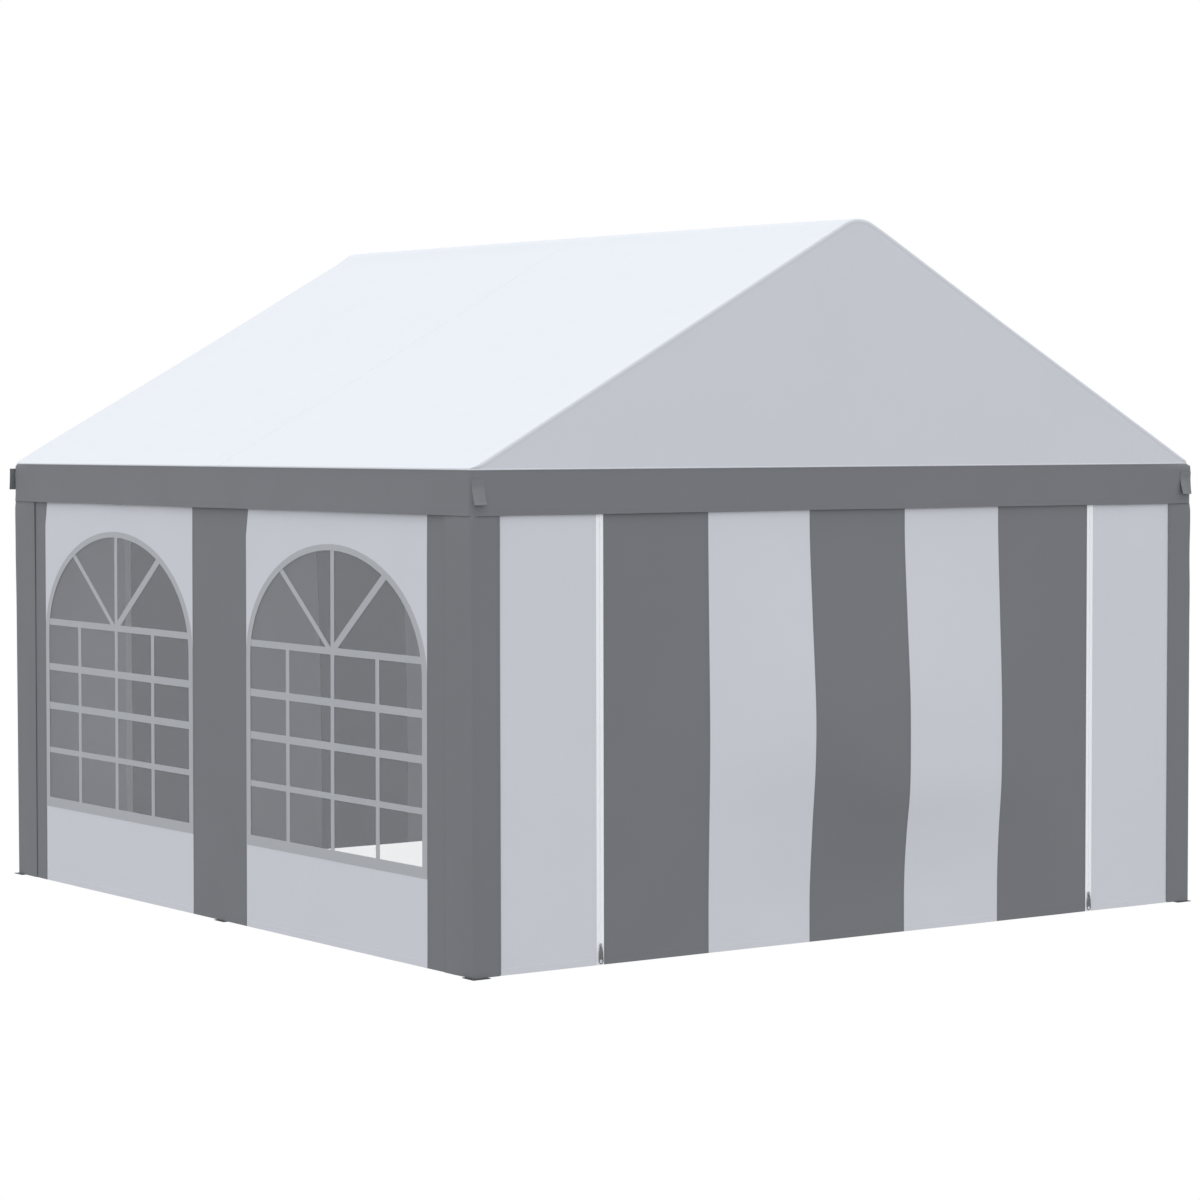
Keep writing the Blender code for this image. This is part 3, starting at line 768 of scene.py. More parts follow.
def roofColumn(s):
    # one line of the roof from rake to rake, as (y, drop) points: at each gable it rounds over into the lap
    x = roofLine(s)[0]
    fromEdge = tent["halfWidth"] - abs(x)
    radius = tent["topRadius"]
    cut = radius - math.sqrt(max(0.0, radius**2 - max(0.0, radius - fromEdge) ** 2))
    limit = tent["halfDepth"] + roofHang["proud"] - cut
    # near the eaves the rounding and the lap shrink into what room there is
    room = fromEdge * math.sin(slope)
    down = min(roofHang["rakeDown"], 0.55 * room + 0.0012)
    lap = max(0.0005, min(roofHang["lap"] + roofHang["rakeDown"], room + 0.004) - down)
    start = min(roofHang["rakeOut"], 0.5 * down + 0.001)
    fall = []
    for i in range(3, 0, -1):
        fall.append((limit - 1.5 * roofHang["proud"] * i / 3, down + lap * i / 3))
    for i in range(8, 0, -1):
        turn = math.pi / 2 * i / 8
        fall.append((limit - start + start * math.sin(turn), down * (1 - math.cos(turn))))
    level = [(share * (limit - start), 0.0) for share in np.linspace(-1, 1, 97)]
    return [(-y, drop) for y, drop in fall] + level + fall[::-1]


def makeRoof():
    edge = [roofReach - step for step in roofHang["edgeSteps"]]
    arc = [arcHalf * i / 6 for i in range(6, 0, -1)]
    half = spread(edge + [arcHalf], spacing["roof"])[:-1] + arc
    bm = bmesh.new()
    rows = []
    for s in [-s for s in half] + [0.0] + half[::-1]:
        rows.append([bm.verts.new(roofPoint(s, y, -drop)) for y, drop in roofColumn(s)])
    for one, two in zip(rows, rows[1:]):
        for i in range(len(one) - 1):
            bm.faces.new((one[i], two[i], two[i + 1], one[i + 1]))
    roof = addPiece("roofSheet", thicken(bm, tent["cloth"]), look["roof"], "roof_cloth")
    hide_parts("roof_cover_left", "roof_cover_right")

    folds, rows = bmesh.new(), bmesh.new()
    end = roofReach - roofHang["seamShort"]
    span = spread([-end, -arcHalf, 0, arcHalf, end], spacing["rake"])
    layOn(folds, roofPoint, [(s, 0.0) for s in span], roofHang["seam"], roofHang["seamProud"])
    for offset in (-roofHang["seamLine"], roofHang["seamLine"]):
        sew(rows, roofPoint, [(s, offset) for s in span], raised=roofHang["seamProud"])
    seam = addPiece("roofSeam", folds, look["roof"], "roof_cloth", sharpAbove=30)
    thread = addPiece("roofStitches", rows, look["whiteThread"])


# Gables

def makeGable(endName, end):
    drop = roofHang["rakeDown"] + gableHang["under"]
    low = tent["valanceTop"] + gableHang["above"]
    bend = tent["ridgeRadius"] - drop
    line = []
    for s in spread([-roofReach, -arcHalf, 0, arcHalf, roofReach], spacing["rake"]):
        x, z, nx, nz = roofLine(s)
        if z - nz * drop > low + 0.001:
            line.append((x - nx * drop, z - nz * drop))
    foot = line[0][0] - (line[0][1] - low) / math.tan(slope)
    outline = [(foot, low)] + line + [(-foot, low)]

    def under(x, z):
        if abs(x) < bend * math.sin(slope):
            return z < arcCentre + math.sqrt(bend**2 - x**2)
        return z < tent["ridge"] - abs(x) * math.tan(slope) - drop / math.cos(slope)

    bm = cutSheet([(outline, True)], spacing["gable"], under, lambda x, z: gablePoint(end, x, z),
                  tent["cloth"])
    gable = addPiece(f"gableSheet_{endName}", bm, look["white"], "wall_cloth")
    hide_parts(f"gable_{endName}")
welt = {"radius": 0.0034, "below": 0.0032, "inset": 0.0012}


def makeEavesWelt():
    # White piping sewn in where roof, gable and valance meet
    height = tent["eaves"] - welt["below"]
    rings = []
    for x, y, nx, ny in ringLoop(welt["inset"], spacing["welt"]):
        rings.append([Vector((x + nx * out, y + ny * out, height + up)) + cornerPush(x, y, height)
                      for out, up in circle(welt["radius"], 8)])
    bm = bmesh.new()
    loft(bm, rings, closed=True)
    addPiece("eavesWelt", bm, look["roof"], "roof_cloth", sharpAbove=80)


# Valance, with its hem, and the webbing tabs at its corners

def makeValance():
    top, bottom = tent["valanceTop"], tent["valanceBottom"]
    heights = spread([top - valanceHang["tuck"], top - valanceHang["turn"], bottom], spacing["valance"])
    bm = gridSheet(ringWay[:-1], heights, valancePoint, tent["cloth"], wraps=True)
    valance = addPiece("valanceSheet", bm, look["grey"], "grey_cloth")
    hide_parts("valance_left", "valance_right", "valance_front", "valance_back")
    trim = bmesh.new(), bmesh.new()
    middle = bottom + valanceHang["hem"] / 2 - sewing["tuck"]
    line = bottom + valanceHang["hem"] - sewing["hemLine"]
    path, stitches = [(u, middle) for u in ringWay], [(u, line) for u in ringWay]
    foldOver(trim, valancePoint, path, stitches, valanceHang["hem"])
    sew(trim[1], valancePoint, [(u, top - valanceHang["topLine"]) for u in ringWay])
    trims = addTrims(trim, "valanceHem", "valanceStitches", "grey", "grey_cloth")


tab = {
    "width": 0.062,
    "length": 0.104,
    "sewn": 0.032,            # below this much of its length the tab hangs free
    "thickness": 0.0018,
    "stand": 0.0018,
    "hem": 0.014,
    "hemProud": 0.001,
    "margin": 0.004,          # of the stitched box, inside the tab's edges
    "top": {-1: 2.019, 1: 2.033},
    "outer": {end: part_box(f"valance_{endName}")[1].x for endName, end in ends.items()},
    "shift": {(-1, -1): 0.0, (1, -1): -0.0154, (-1, 1): 0.003, (1, 1): 0.0},  # outward, by (side, end)
    "flare": {                # by (side, end): how far the free end stands out at its outer and inner edge
        (-1, -1): (0.018, 0.015),
        (1, -1): (0.007, 0.021),
        (-1, 1): (0.006, 0.009),
        (1, 1): (0.012, 0.008),
    },
    "flareCurve": 1.25,
}


def makeTab(spot, end, side):
    outer = side * (tab["outer"][end] + tab["shift"][side, end])
    inner = outer - side * tab["width"]
    top = tab["top"][end]
    turn, bottom = top - tab["sewn"], top - tab["length"]
    outerFlare, innerFlare = tab["flare"][side, end]

    def tabPoint(x, z, out=0.0):
        down = (tent["valanceTop"] - z) / (tent["valanceTop"] - tent["valanceBottom"])
        free = max(0.0, (turn - z) / (turn - bottom))
        flare = innerFlare + (outerFlare - innerFlare) * (x - inner) / (outer - inner)
        stand = valanceHang["cornerFlare"] * down ** valanceHang["flareCurve"] + tab["stand"]
        stand += flare * free ** tab["flareCurve"]
        pushed = cornerPush(x, end * tent["halfDepth"], z).y
        return Vector((x, end * (tent["halfDepth"] + stand + out) + pushed, z))

    across = [outer + (inner - outer) * i / 6 for i in range(7)]
    bm = gridSheet(across, spread([top, turn, bottom], spacing["tab"]), tabPoint, tab["thickness"])
    fold = bottom + tab["hem"] / 2
    layOn(bm, tabPoint, [(outer, fold), (inner, fold)], tab["hem"] - 0.0002, tab["hemProud"])
    strap = addPiece(f"cornerTab_{spot}", bm, look["webbing"], "grey_cloth", sharpAbove=50)
    rows = bmesh.new()
    left, right = outer - tab["margin"] * side, inner + tab["margin"] * side
    high, low = top - tab["margin"], turn + 0.006
    sew(rows, tabPoint, [(left, high), (right, high), (right, low), (left, low)], closed=True)
    sew(rows, tabPoint, [(left, high), (right, low)])
    sew(rows, tabPoint, [(right, high), (left, low)])
    line = bottom + tab["hem"] - 0.0025
    sew(rows, tabPoint, [(outer, line), (inner, line)], raised=tab["hemProud"])
    addPiece(f"cornerTabStitches_{spot}", rows, look["greyThread"])


# Corner covers, bent round the corner legs over the ends of the walls

def makeCornerCover(spot, end, side):
    half = coverHalfBend
    start, stop = -(half + coverReach[0]), half + coverReach[1]
    low, top, r = tent["hem"], cover["top"], cover["round"]
    corners = []
    for cu, first in ((start + r, 180), (stop - r, 270)):
        for i in range(7):
            turn = math.radians(first + 15 * i)
            corners.append((cu + r * math.cos(turn), low + r + r * math.sin(turn)))
    outline = corners + [(stop, top), (start, top)]
    bends = [([(half * k / 4, low), (half * k / 4, top)], False) for k in range(-4, 5)]

    def inside(u, z):
        if not start < u < stop or not low < z < top:
            return False
        du, dz = max(start + r - u, u - stop + r, 0.0), max(low + r - z, 0.0)
        return math.hypot(du, dz) < r

    def place(u, z, out=0.0):
        return coverPoint(side, end, u, z, out)

    bm = cutSheet([(outline, True)] + bends, spacing["cover"], inside, place, tent["cloth"])
    piece = addPiece(f"cornerCover_{spot}", bm, look["grey"], "grey_cloth")
    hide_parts(f"corner_cover_{spot}")
    trim = bmesh.new(), bmesh.new()
    for edge, toward in ((start, 1), (stop, -1)):
        middle, line = edge + toward * cover["hem"] / 2, edge + toward * (cover["hem"] - cover["hemLine"])
        path, stitches = [(middle, low + r), (middle, top)], [(line, low + r), (line, top)]
        foldOver(trim, place, path, stitches, cover["hem"] - sewing["narrow"])
    trims = addTrims(trim, f"cornerHems_{spot}", f"cornerStitches_{spot}", "grey", "grey_cloth")


# Side walls: white bays with arched windows, between grey strips

window = {
    "offset": 1.0,            # each side of the middle leg
    # half width, sill, the rise of the half ellipse over it, and how far its top leans
    "rim": (0.752, 0.372, 0.526, 0.013),
    "opening": (0.717, 0.416, 0.502, 0.011),
    "archFoot": 1.21,
    "hub": 1.28,              # the fan's bars meet here
    "lap": 0.018,             # the film's weld, all round the opening
    "filmBehind": 0.0016,
    "film": 0.0005,
    "bars": ((1.2775, 0.031), (1.057, 0.034), (0.867, 0.034), (0.651, 0.027)),  # middle height, width
    "uprights": (-0.362, 0.005, 0.386),
    "uprightWidth": 0.03,
    "middle": 0.1,            # an upright this near the middle runs up to the arch
    "fan": ((0.005, 142.0, 0.035), (0.025, 38.5, 0.026)),  # foot off the middle, degrees, width
    "fanReach": 0.56,
    "inside": 0.001,          # the bars keep this far inside the opening
    "short": 0.002,           # and are cut this much shorter than it
    "barsBehind": 0.0003,
    "bar": 0.0011,
    "rimOver": 0.003,         # the rim reaches this far into the opening
    "rimProud": 0.0009,
    "rimThickness": 0.001,
}
sideWall = {
    "greyMiddle": 0.2477,     # half width of the strip over the middle leg
    "greyEdge": 1.7521,       # the edge strips start here
    "slant": 0.022,           # each bay's far upper corner is pulled in
    "slantHeight": 0.12,
}


def windowOutline(shape, margin=0.0, steps=32):
    wide, sill, rise, lean = shape
    wide, sill, rise = wide + margin, sill - margin, rise + margin
    points = [(wide, sill)]
    for i in range(steps + 1):
        turn = math.pi * i / steps
        u = wide * math.cos(turn) + lean * math.sin(turn)
        points.append((u, window["archFoot"] + rise * math.sin(turn)))
    return points + [(-wide, sill)]


def inWindow(shape, u, z, margin=0.0):
    wide, sill, rise, lean = shape
    wide, sill, rise = wide + margin, sill - margin, rise + margin
    up = (z - window["archFoot"]) / rise
    if z < sill or up > 1:
        return False
    return abs(u - lean * max(0.0, up)) < wide * math.sqrt(1 - max(0.0, up) ** 2)


def windowArea(shape):
    wide, sill, rise, _ = shape
    return 2 * wide * (window["archFoot"] - sill) + math.pi / 2 * wide * rise


def bayEdge(edge, z):
    # a bay's far edge slants in just under the valance
    return edge - sideWall["slant"] * max(0.0, 1 - (tent["valanceBottom"] - z) / sideWall["slantHeight"])


def makeSideWall(sideName, side):
    end = tent["wallEndY"]
    low, top = tent["hem"], tent["wallTop"]
    kink = tent["valanceBottom"] - sideWall["slantHeight"]
    middle, edge = sideWall["greyMiddle"], sideWall["greyEdge"]

    def wallLine(value, slants):
        heights = (low, kink, top)
        return [(-side * (bayEdge(value, z) if slants else value), z) for z in heights]

    seams = [wallLine(edge, True), wallLine(middle, False), wallLine(-middle, True), wallLine(-edge, False)]
    outline = [(-end, low), (end, low), (end, top), (-end, top)]
    hole = windowOutline(window["opening"])
    openings = [[(k * window["offset"] - side * u, z) for u, z in hole] for k in (-1, 1)]
    lines = [(outline, True)] + [(line, False) for line in seams] + [(hole, True) for hole in openings]

    def isWhite(y, z):
        across = -side * y
        return middle < across < bayEdge(edge, z) or -edge < across < bayEdge(-middle, z)

    def isOpen(y, z):
        return inWindow(window["opening"], -side * (y - math.copysign(window["offset"], y)), z)

    def place(y, z, out=0.0):
        return sidePoint(side, y, z, out)

    apart, cloth = spacing["wall"], tent["cloth"]
    white = cutSheet(lines, apart, lambda y, z: isWhite(y, z) and not isOpen(y, z), place, cloth)
    grey = cutSheet(lines, apart, lambda y, z: not isWhite(y, z), place, cloth)
    white = addPiece(f"sideWallWhite_{sideName}", white, look["white"], "wall_cloth")
    grey = addPiece(f"sideWallGrey_{sideName}", grey, look["grey"], "grey_cloth")
    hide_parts(f"wall_{sideName}")

    trims = {}
    for colour, slot, spans in (
        ("White", "wall_cloth", [(-edge, -middle), (middle, edge)]),
        ("Grey", "grey_cloth", [(-end, -edge), (-middle, middle), (edge, end)]),
    ):
        trim = bmesh.new(), bmesh.new()
        for one, two in spans:
            hemFoot(trim, place, one, two)
        for seam in seams if colour == "Grey" else ():
            # its fold lies on the grey side: outward at the edge strips, and inward at the middle one
            outward = 1 if abs(seam[0][0]) > window["offset"] else -1
            inGrey = outward * math.copysign(sewing["seam"] / 2, seam[0][0])
            moved = [(y + inGrey, z) for y, z in seam]
            foldOver(trim, place, moved, moved, sewing["seam"])
        names = f"sideHems{colour}_{sideName}", f"sideStitches{colour}_{sideName}"
        trims[colour] = addTrims(trim, *names, colour.lower(), slot)
    panes = []
    for endName, k in ends.items():
        panes += makeWindow(f"{endName}_{sideName}", side, k * window["offset"])
    height, bays = top - low, 2 * (edge - middle)
    whiteArea = bays * height - 2 * windowArea(window["opening"])
    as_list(trims["Grey"])
    print("side wall", sideName, "white flat", round(bays, 3), round(height, 3), "area", round(whiteArea, 3))


def windowBars():
    # each bar's foot, direction, length and width, and the heights between which it shows
    wide, sill = window["opening"][0] - window["short"], window["opening"][1] + window["short"]
    hub, crown = window["hub"], window["archFoot"] + window["opening"][2]
    bands = []
    for z, width in window["bars"]:
        bands.append((Vector((-wide, z)), Vector((1, 0)), 2 * wide, width, (0, crown)))
    for u in window["uprights"]:
        top = crown if abs(u) < window["middle"] else hub
        length = top - sill - 2 * window["short"]
        bands.append((Vector((u, sill)), Vector((0, 1)), length, window["uprightWidth"], (0, top)))
    for u, angle, width in window["fan"]:
        way = Vector((math.cos(math.radians(angle)), math.sin(math.radians(angle))))
        bands.append((Vector((u, hub)), way, window["fanReach"], width, (hub, crown)))
    return bands


def makeWindow(name, side, offset):
    opening = window["opening"]

    def setIn(line):
        return [(offset - side * u, z) for u, z in line]

    def within(shape, y, z, margin=0.0):
        return inWindow(window[shape], -side * (y - offset), z, margin)

    def behind(out):
        return lambda y, z: sidePoint(side, y, z, out)

    film = cutSheet([(setIn(windowOutline(opening, window["lap"])), True)], spacing["window"],
                    lambda y, z: within("opening", y, z, window["lap"]),
                    behind(-window["filmBehind"]), window["film"])
    film = addPiece(f"windowFilm_{name}", film, look["film"], "window_film")
    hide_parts(f"window_{name}")

    lines = [(windowOutline(opening, -window["inside"]), True)]
    bands = windowBars()
    for foot, way, length, width, _ in bands:
        across = Vector((-way.y, way.x)) * width / 2
        for start in (foot - across, foot + across):
            lines.append(([tuple(start), tuple(start + way * length)], False))

    def isBar(y, z):
        here = Vector((-side * (y - offset), z))
        return within("opening", y, z, -window["inside"]) and any(
            low < z < high and abs(way.cross(here - foot)) < width / 2
            for foot, way, _, width, (low, high) in bands
        )

    bars = cutSheet([(setIn(line), closed) for line, closed in lines], spacing["bars"], isBar,
                    behind(-window["barsBehind"]), window["bar"])
    bars = addPiece(f"windowBars_{name}", bars, look["strip"], "window_film")
    over = -window["rimOver"]
    edges = [(setIn(windowOutline(window["rim"])), True), (setIn(windowOutline(opening, over)), True)]
    rim = cutSheet(edges, spacing["window"],
                   lambda y, z: within("rim", y, z) and not within("opening", y, z, over),
                   behind(window["rimProud"]), window["rimThickness"])
    rim = addPiece(f"windowRim_{name}", rim, look["strip"], "window_film")
    return [film, bars, rim]


# End walls: a fixed white panel at each side, and a striped door panel between two zips

def makeEndWall(endName, end):
    low, top = tent["hem"], tent["wallTop"]
    inner, outer = tent["zipInner"], tent["zipOuter"]
    narrow, wide = door["stripes"]
    gap = 0.0003  # between the cloth and a zip's tape

    def place(x, z, out=0.0):
        return endPoint(end, x, z, out)

    def panel(name, spans, colour, slot):
        # one piece of cloth colour: its stripes share a mesh
        bm, trim = bmesh.new(), (bmesh.new(), bmesh.new())
        for one, two in spans:
            columns, levels = spread([one, two], spacing["wall"]), spread([low, top], spacing["wall"])
            pour(gridSheet(columns, levels, place, tent["cloth"]), bm)
            hemFoot(trim, place, one, two)
            for edge, toward in ((one, 1), (two, -1)):
                if colour == "grey" or abs(edge) > inner - 0.01:
                    seam = edge + toward * sewing["seam"] / 2
                    path = [(seam, low + sewing["hem"]), (seam, top)]
                    foldOver(trim, place, path, path, sewing["seam"] - sewing["narrow"])
        piece = addPiece(name, bm, look[colour], slot)
        return piece, addTrims(trim, name + "Hems", name + "Stitches", colour, slot)

    for sideName, side in sides.items():
        spans = [tuple(sorted((side * (outer + gap), side * tent["wallEndX"])))]
        fixed, trims = panel(f"endPanel_{endName}_{sideName}", spans, "white", "wall_cloth")
        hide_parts(f"wall_{endName}_{sideName}")
        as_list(trims)
    whiteSpans = [(-wide, -narrow), (narrow, wide)]
    greySpans = [(gap - inner, -wide), (-narrow, narrow), (wide, inner - gap)]
    white, whiteTrims = panel(f"doorWhite_{endName}", whiteSpans, "white", "wall_cloth")
    grey, greyTrims = panel(f"doorGrey_{endName}", greySpans, "grey", "grey_cloth")
    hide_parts(f"door_panel_{endName}")
    zips = []
    for sideName, side in sides.items():
        zips += makeZip(f"{endName}_{sideName}", end, side)
    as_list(whiteTrims)
    print("end wall", endName, "done")


zipper = {
    "pitch": 0.0036,          # from tooth to tooth, drawn coarse
    "tooth": 0.0022,
    "reach": 0.0033,          # each tooth, out from the middle
    "past": 0.0006,           # and past it
    "proud": 0.0022,
    "tapeProud": 0.0005,
    "tape": 0.0014,
    "underEdge": 0.001,       # the tape runs on under the cloth's edges
}


def makeZip(spot, end, side):
    low, top = tent["hem"], tent["wallTop"]
    middle = side * (tent["zipInner"] + tent["zipOuter"]) / 2
    half = (tent["zipOuter"] - tent["zipInner"]) / 2 + zipper["underEdge"]

    def tapePoint(x, z, out=0.0):
        return Vector((x, end * (tent["wallY"] + zipper["tapeProud"] + out), z))

    heights = spread([low, top], spacing["tape"])
    bm = gridSheet([middle - half, middle, middle + half], heights, tapePoint, zipper["tape"])
    tape = addPiece(f"zipTape_{spot}", bm, look["zipTape"], "zip_tape")
    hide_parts(f"zip_{spot}")
    teeth = bmesh.new()
    halfTooth, crown = zipper["tooth"] / 2, zipper["proud"] - zipper["tapeProud"]
    for i in range(int((top - low) / zipper["pitch"])):
        for hand in (-1, 1):
            z = low + zipper["pitch"] * (i + 0.5 + hand / 4)
            one, two = middle + hand * zipper["reach"], middle - hand * zipper["past"]
            rings = []
            for inset, t, out in ((0.0, halfTooth, -sewing["tuck"]), (0.15, halfTooth * 0.6, crown)):
                a, b = one + (two - one) * inset, two - (two - one) * inset
                rings.append([tapePoint(x, z + up, out) for x, up in ((a, -t), (b, -t), (b, t), (a, t))])
            loft(teeth, rings)
    teeth = addPiece(f"zipTeeth_{spot}", teeth, look["zipTape"], "zip_tape", sharpAbove=30)
    return [tape, teeth]


# Zip sliders

slider = {
    "halfTop": 0.0068,
    "halfFoot": 0.0048,
    "halfHeight": 0.015,
    "plate": 0.0022,
    "plateOut": 0.0031,       # each height is off the wall's face
    "flange": (0.0043, 0.0052, 0.0066),   # inner edge, and outer edge at its foot and head
    "flangeOut": (0.0012, 0.0035),
    "bridge": (0.0085, 0.0034),           # half its length, and its rise
    "bridgeBar": (0.0014, 0.0007),        # half width and half thickness
    "bridgeOut": 0.0049,
    "edge": 0.0004,           # how much the edges are eased
    "pullLength": 0.074,
    "pullAbove": 0.002,       # the pull's upper end, above the slider's middle
    "pullTop": 0.0058,        # radius of its upper end
    "pullShoulder": (0.0102, -0.021),     # half width, and how far down
    "pullFoot": 0.012,        # radius of its lower end
    "pullThickness": 0.0013,
    "pullOut": 0.0057,
    "eye": (0.0026, -0.0072),             # the hole that the bridge passes through: radius, and how far down
    "hole": 0.0077,           # the finger hole
}


def prism(bm, outline, place, low, high, holes=()):
    # a flat plate with holes between two heights over a sheet, its edges eased
    part = bmesh.new()
    edges = []
    for loop in (outline, *holes):
        ring = [part.verts.new(place(u, v, low)) for u, v in loop]
        edges += [part.edges.new(pair) for pair in zip(ring, ring[1:] + ring[:1])]
    bmesh.ops.triangle_fill(part, edges=edges, use_beauty=True)
    lift = place(0, 0, high) - place(0, 0, low)
    raised = bmesh.ops.extrude_face_region(part, geom=list(part.faces), use_keep_orig=True)["geom"]
    bmesh.ops.translate(part, vec=lift, verts=[g for g in raised if isinstance(g, bmesh.types.BMVert)])
    bmesh.ops.recalc_face_normals(part, faces=part.faces)
    rims = [e for e in part.edges if len(e.link_faces) == 2 and e.calc_face_angle() > 1.0]
    bmesh.ops.bevel(part, geom=rims, offset=slider["edge"], segments=2, affect="EDGES", profile=0.6)
    pour(part, bm)


def makeSlider(spot, end, side):
    node, body = f"zip_slider_{spot}", f"slider_{spot}"
    x0 = side * (tent["zipInner"] + tent["zipOuter"]) / 2
    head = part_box(node)[0].z + slider["pullLength"] - slider["pullAbove"]  # the middle of the slider

    def place(u, v, out=0.0):
        return Vector((x0 + u, end * (tent["wallY"] + out), head + v))

    bm = bmesh.new()
    top, foot, high = slider["halfTop"], slider["halfFoot"], slider["halfHeight"]
    plate = [(-top, high * 0.45), (-top * 0.9, high * 0.85), (-0.002, high), (0.002, high),
             (top * 0.9, high * 0.85), (top, high * 0.45), (foot, -high * 0.75),
             (foot * 0.85, -high), (-foot * 0.85, -high), (-foot, -high * 0.75)]
    prism(bm, plate, place, slider["plateOut"], slider["plateOut"] + slider["plate"])
    inner, outerFoot, outerHead = slider["flange"]
    for hand in (-1, 1):
        flange = [(hand * inner, -high * 0.7), (hand * outerFoot, -high * 0.7),
                  (hand * outerHead, high * 0.5), (hand * inner, high * 0.5)]
        prism(bm, flange, place, *slider["flangeOut"])
    length, rise = slider["bridge"]
    halfBar, thin = slider["bridgeBar"]
    rings = []
    for i in range(9):
        turn = math.pi * i / 8
        v, out = length * math.cos(turn), slider["bridgeOut"] + rise * math.sin(turn)
        rings.append([place(halfBar * a, v, out + thin * b) for a, b in circle(1.0, 8)])
    loft(bm, rings)
    carriage = addPiece(f"zipSlider_{spot}", bm, look["zinc"], "zip_metal", body, sharpAbove=50)
    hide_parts(node)

    crown = slider["pullAbove"] - slider["pullTop"]
    foot = slider["pullAbove"] - slider["pullLength"] + slider["pullFoot"]
    shoulder, shoulderAt = slider["pullShoulder"]

    def arc(radius, centre, first, steps=12):
        turns = [first + math.pi * i / steps for i in range(steps + 1)]
        return [(radius * math.cos(turn), centre + radius * math.sin(turn)) for turn in turns]

    outline = arc(slider["pullTop"], crown, 0.0) + [(-shoulder, shoulderAt)]
    outline += arc(slider["pullFoot"], foot, math.pi) + [(shoulder, shoulderAt)]
    eye, eyeAt = slider["eye"]
    holes = [circle(eye, 20, (0.0, eyeAt)), circle(slider["hole"], 20, (0.0, foot))]
    pull = bmesh.new()
    prism(pull, outline, place, slider["pullOut"], slider["pullOut"] + slider["pullThickness"], holes)
    addPiece(f"zipPull_{spot}", pull, look["gunmetal"], "zip_metal", body, sharpAbove=50)


# Steel frame: the tubes keep their solids, and get their bolts and weld beads here

steelwork = {
    "socket": 0.0185,         # radius of the heads' arms
    "clear": 0.1,             # an arm starts only where the frame runs on this far
    "railBolt": 0.066,        # how far along its arm each bolt sits
    "rafterBolt": 0.06,
    # each bolt's washer, head and thread: from and to, off the arm, radius and sides
    "bolt": ((-0.0006, 0.0012, 0.0075, 20), (0.001, 0.0058, 0.0055, 6), (0.005, 0.0085, 0.003, 12)),
    "weldReach": 0.0192,      # the bead round each leg's foot
    "weldHeight": 0.0034,
    "bead": 0.0028,
    "beadSwell": 0.0005,
    "paintedFootShade": 0.004,       # the dark painted shade on the foot plates ends this far up
}


def makeFrameDetails():
    for name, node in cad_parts.items():
        if name.split("_")[0] in ("leg", "eave", "gable", "rafter", "ridge") and not node.hide_render:
            node.data.materials.clear()
            node.data.materials.append(look["steel"])
        if name.startswith("leg"):
            # the legs' lowest faces take the dark colour, painted shade for the shadow at the foot
            node.data.materials.append(look["paintedFootShade"])
            for face in node.data.polygons:
                top = max((node.matrix_world @ node.data.vertices[i].co).z for i in face.vertices)
                face.material_index = int(top < steelwork["paintedFootShade"])
    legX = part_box("leg_middle_right")[1].x - tent["footHalf"]
    railZ = sum(corner.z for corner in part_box("eave_rail_front_right")) / 2
    ridgeZ = sum(corner.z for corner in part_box("ridge_tube_front")) / 2
    axisRadius = ridgeZ - arcCentre  # of the ridge connectors' bend
    along = steelwork["railBolt"]
    bolts, beads = bmesh.new(), bmesh.new()

    def bolt(point, way):
        way = Vector(way).normalized()
        seat = Vector(point) + way * steelwork["socket"]
        for low, high, radius, segments in steelwork["bolt"]:
            tube(bolts, seat + way * low, seat + way * high, radius, segments)

    def runsOn(y, toward):
        return abs(y + toward * steelwork["clear"]) < rafterPitch

    for y in (-rafterPitch, 0.0, rafterPitch):
        for side in sides.values():
            inward = Vector((-side * math.sin(slope), 0, -math.cos(slope)))
            upSlope = Vector((-side * math.cos(slope), 0, math.sin(slope)))
            head = Vector((side * legX, y, railZ))
            bolt(head + upSlope * along, inward)
            for toward in (-1, 1):
                if runsOn(y, toward):
                    bolt(head + Vector((0, toward * along, 0)), (-side, 0, 0))
            if y:
                bolt(head + Vector((-side * along, 0, 0)), (0, -math.copysign(1, y), 0))
            joint = Vector((0, y, arcCentre)) - inward * axisRadius
            bolt(joint - upSlope * steelwork["rafterBolt"], inward)
            rings = []
            for i in range(24):
                turn = math.tau * i / 24
                swell = steelwork["bead"] + steelwork["beadSwell"] * math.sin(turn * 9)
                rings.append([
                    (side * legX + reach * math.cos(turn), y + reach * math.sin(turn), z)
                    for reach, z in circle(swell, 8, (steelwork["weldReach"], steelwork["weldHeight"]))
                ])
            loft(beads, rings, closed=True)
        for toward in (-1, 1):
            if runsOn(y, toward):
                bolt((0, y + toward * along, ridgeZ), (0, 0, -1))
    addPiece("frameBolts", bolts, look["zinc"], "frame_steel", sharpAbove=30)
    addPiece("footWelds", beads, look["steel"], "frame_steel", sharpAbove=80)
    print("frame details made")


# Camera, floor and light

view = {
    "place": (-9.5534, -13.6747, 2.1991),
    "yaw": 35.23,             # degrees, from +y towards +x
    "pitch": -2.755,
    "roll": -0.114,
    "lens": 103.42,           # mm, on a 36 mm sensor
    "reach": 200,
}


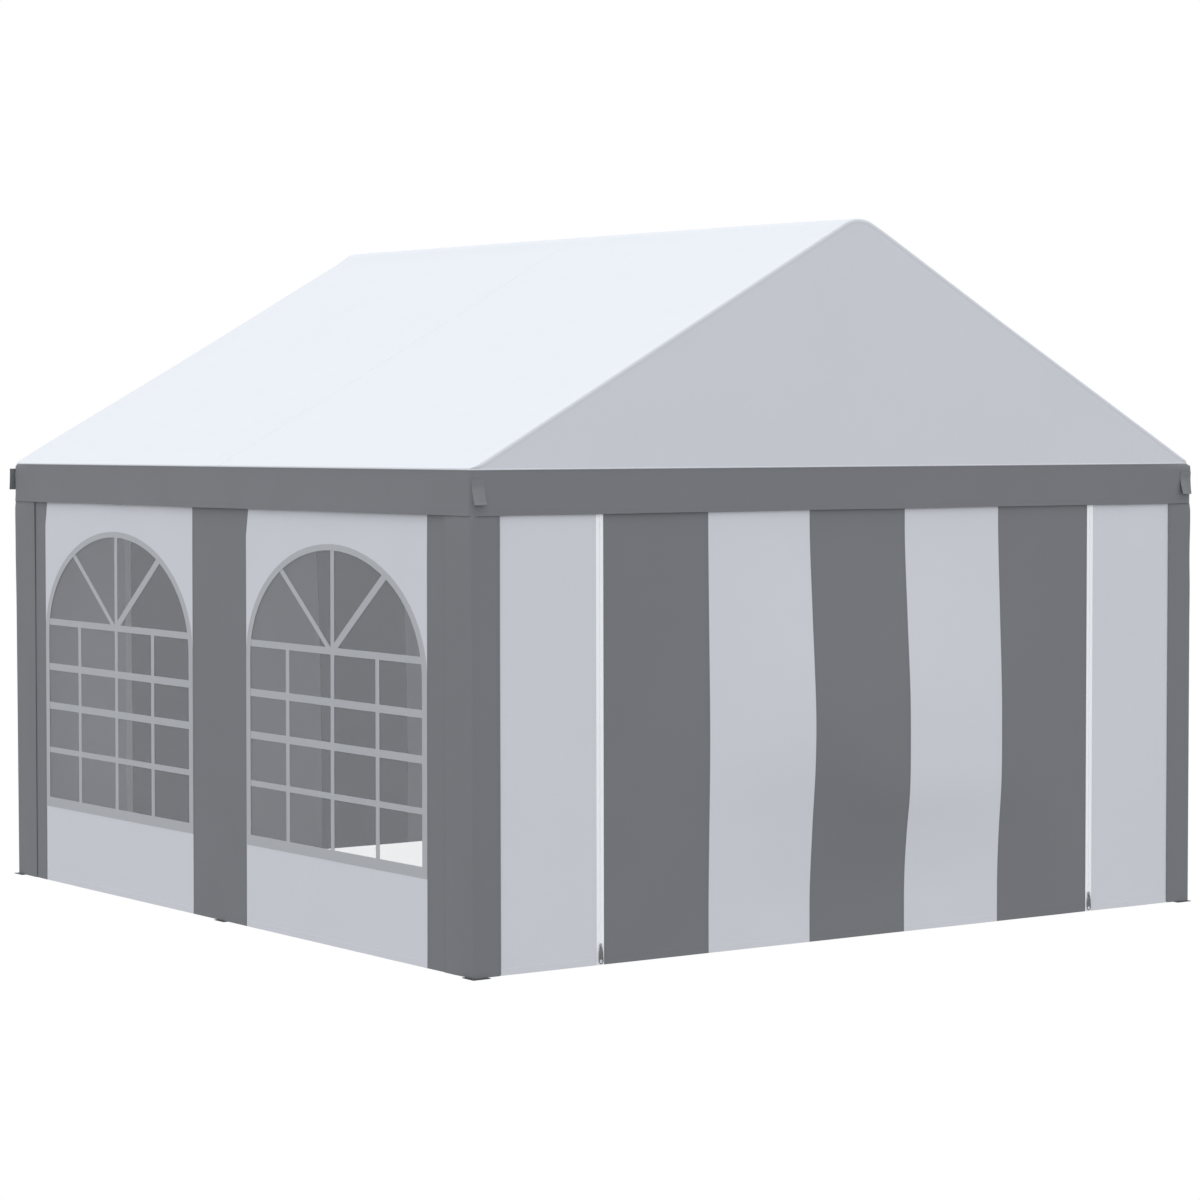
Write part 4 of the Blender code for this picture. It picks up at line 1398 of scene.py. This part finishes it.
def makeCamera():
    yaw, pitch, roll = (math.radians(view[key]) for key in ("yaw", "pitch", "roll"))
    forward = Vector((math.sin(yaw) * math.cos(pitch), math.cos(yaw) * math.cos(pitch), math.sin(pitch)))
    level = Vector((math.cos(yaw), -math.sin(yaw), 0))
    upright = level.cross(forward)
    right = math.cos(roll) * level + math.sin(roll) * upright
    up = math.cos(roll) * upright - math.sin(roll) * level
    camera = bpy.data.objects.new("camera", bpy.data.cameras.new("camera"))
    camera.data.sensor_width = 36
    camera.data.lens = view["lens"]
    camera.data.clip_end = view["reach"]
    turn = Matrix((right, up, -forward)).transposed().to_4x4()
    camera.matrix_world = Matrix.Translation(view["place"]) @ turn
    bpy.context.scene.collection.objects.link(camera)
    bpy.context.scene.camera = camera


studio = {
    "sky": 1.0,
    "topLight": 1.18,
    "topAngle": 80,           # degrees across; a wide soft box overhead
    "floorBounce": 0.55,      # what the white floor sends back up to the tent
    "groundBounce": 0.03,     # and what the covered ground inside it does
    "floorReach": 60,
}


def paperFloor(name, bounce, halfX, halfY, height):
    # white paper to the lens, and one even bounce to everything else, so that it takes no shadow
    paper = bpy.data.materials.new(name)
    paper.use_nodes = True
    lens = addNode(paper, "LightPath")
    strength = addNode(paper, "MapRange", {"To Min": bounce, "To Max": 1.0},
                       {"Value": lens.outputs["Is Camera Ray"]})
    addNode(paper, "Emission", None, {"Strength": strength.outputs[0]},
            paper.node_tree.nodes["Material Output"].inputs["Surface"])
    mesh = bpy.data.meshes.new(name)
    corners = [(a * halfX, b * halfY, height) for a, b in ((-1, -1), (1, -1), (1, 1), (-1, 1))]
    mesh.from_pydata(corners, [], [(0, 1, 2, 3)])
    mesh.materials.append(paper)
    floor = bpy.data.objects.new(name, mesh)
    bpy.context.scene.collection.objects.link(floor)
    floor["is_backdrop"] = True


def makeStudio():
    scene = bpy.context.scene
    scene.view_settings.view_transform = "Standard"
    scene.view_settings.look = "None"
    world = bpy.data.worlds.new("studio")
    world.use_nodes = True
    world.node_tree.nodes["Background"].inputs["Color"].default_value = (1, 1, 1, 1)
    world.node_tree.nodes["Background"].inputs["Strength"].default_value = studio["sky"]
    scene.world = world
    lamp = bpy.data.objects.new("topLight", bpy.data.lights.new("topLight", "SUN"))
    lamp.data.energy = studio["topLight"]
    lamp.data.angle = math.radians(studio["topAngle"])
    scene.collection.objects.link(lamp)
    reach = studio["floorReach"]
    paperFloor("studioFloor", studio["floorBounce"], reach, reach, -0.002)
    paperFloor("coveredGround", studio["groundBounce"], tent["wallEndX"], tent["wallEndY"], -0.001)


makeCamera()
makeStudio()
print("camera and studio set")
makeRoof()
for endName, end in ends.items():
    makeGable(endName, end)
makeEavesWelt()
makeValance()
for endName, end in ends.items():
    for sideName, side in sides.items():
        makeTab(f"{endName}_{sideName}", end, side)
        makeCornerCover(f"{endName}_{sideName}", end, side)
print("gables, valance, tabs and corner covers made")
for sideName, side in sides.items():
    makeSideWall(sideName, side)
for endName, end in ends.items():
    makeEndWall(endName, end)
    for sideName, side in sides.items():
        makeSlider(f"{endName}_{sideName}", end, side)
print("walls, windows, zips and sliders made")
makeFrameDetails()

[[list(corner) for corner in box] for box in (cadBox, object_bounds())]
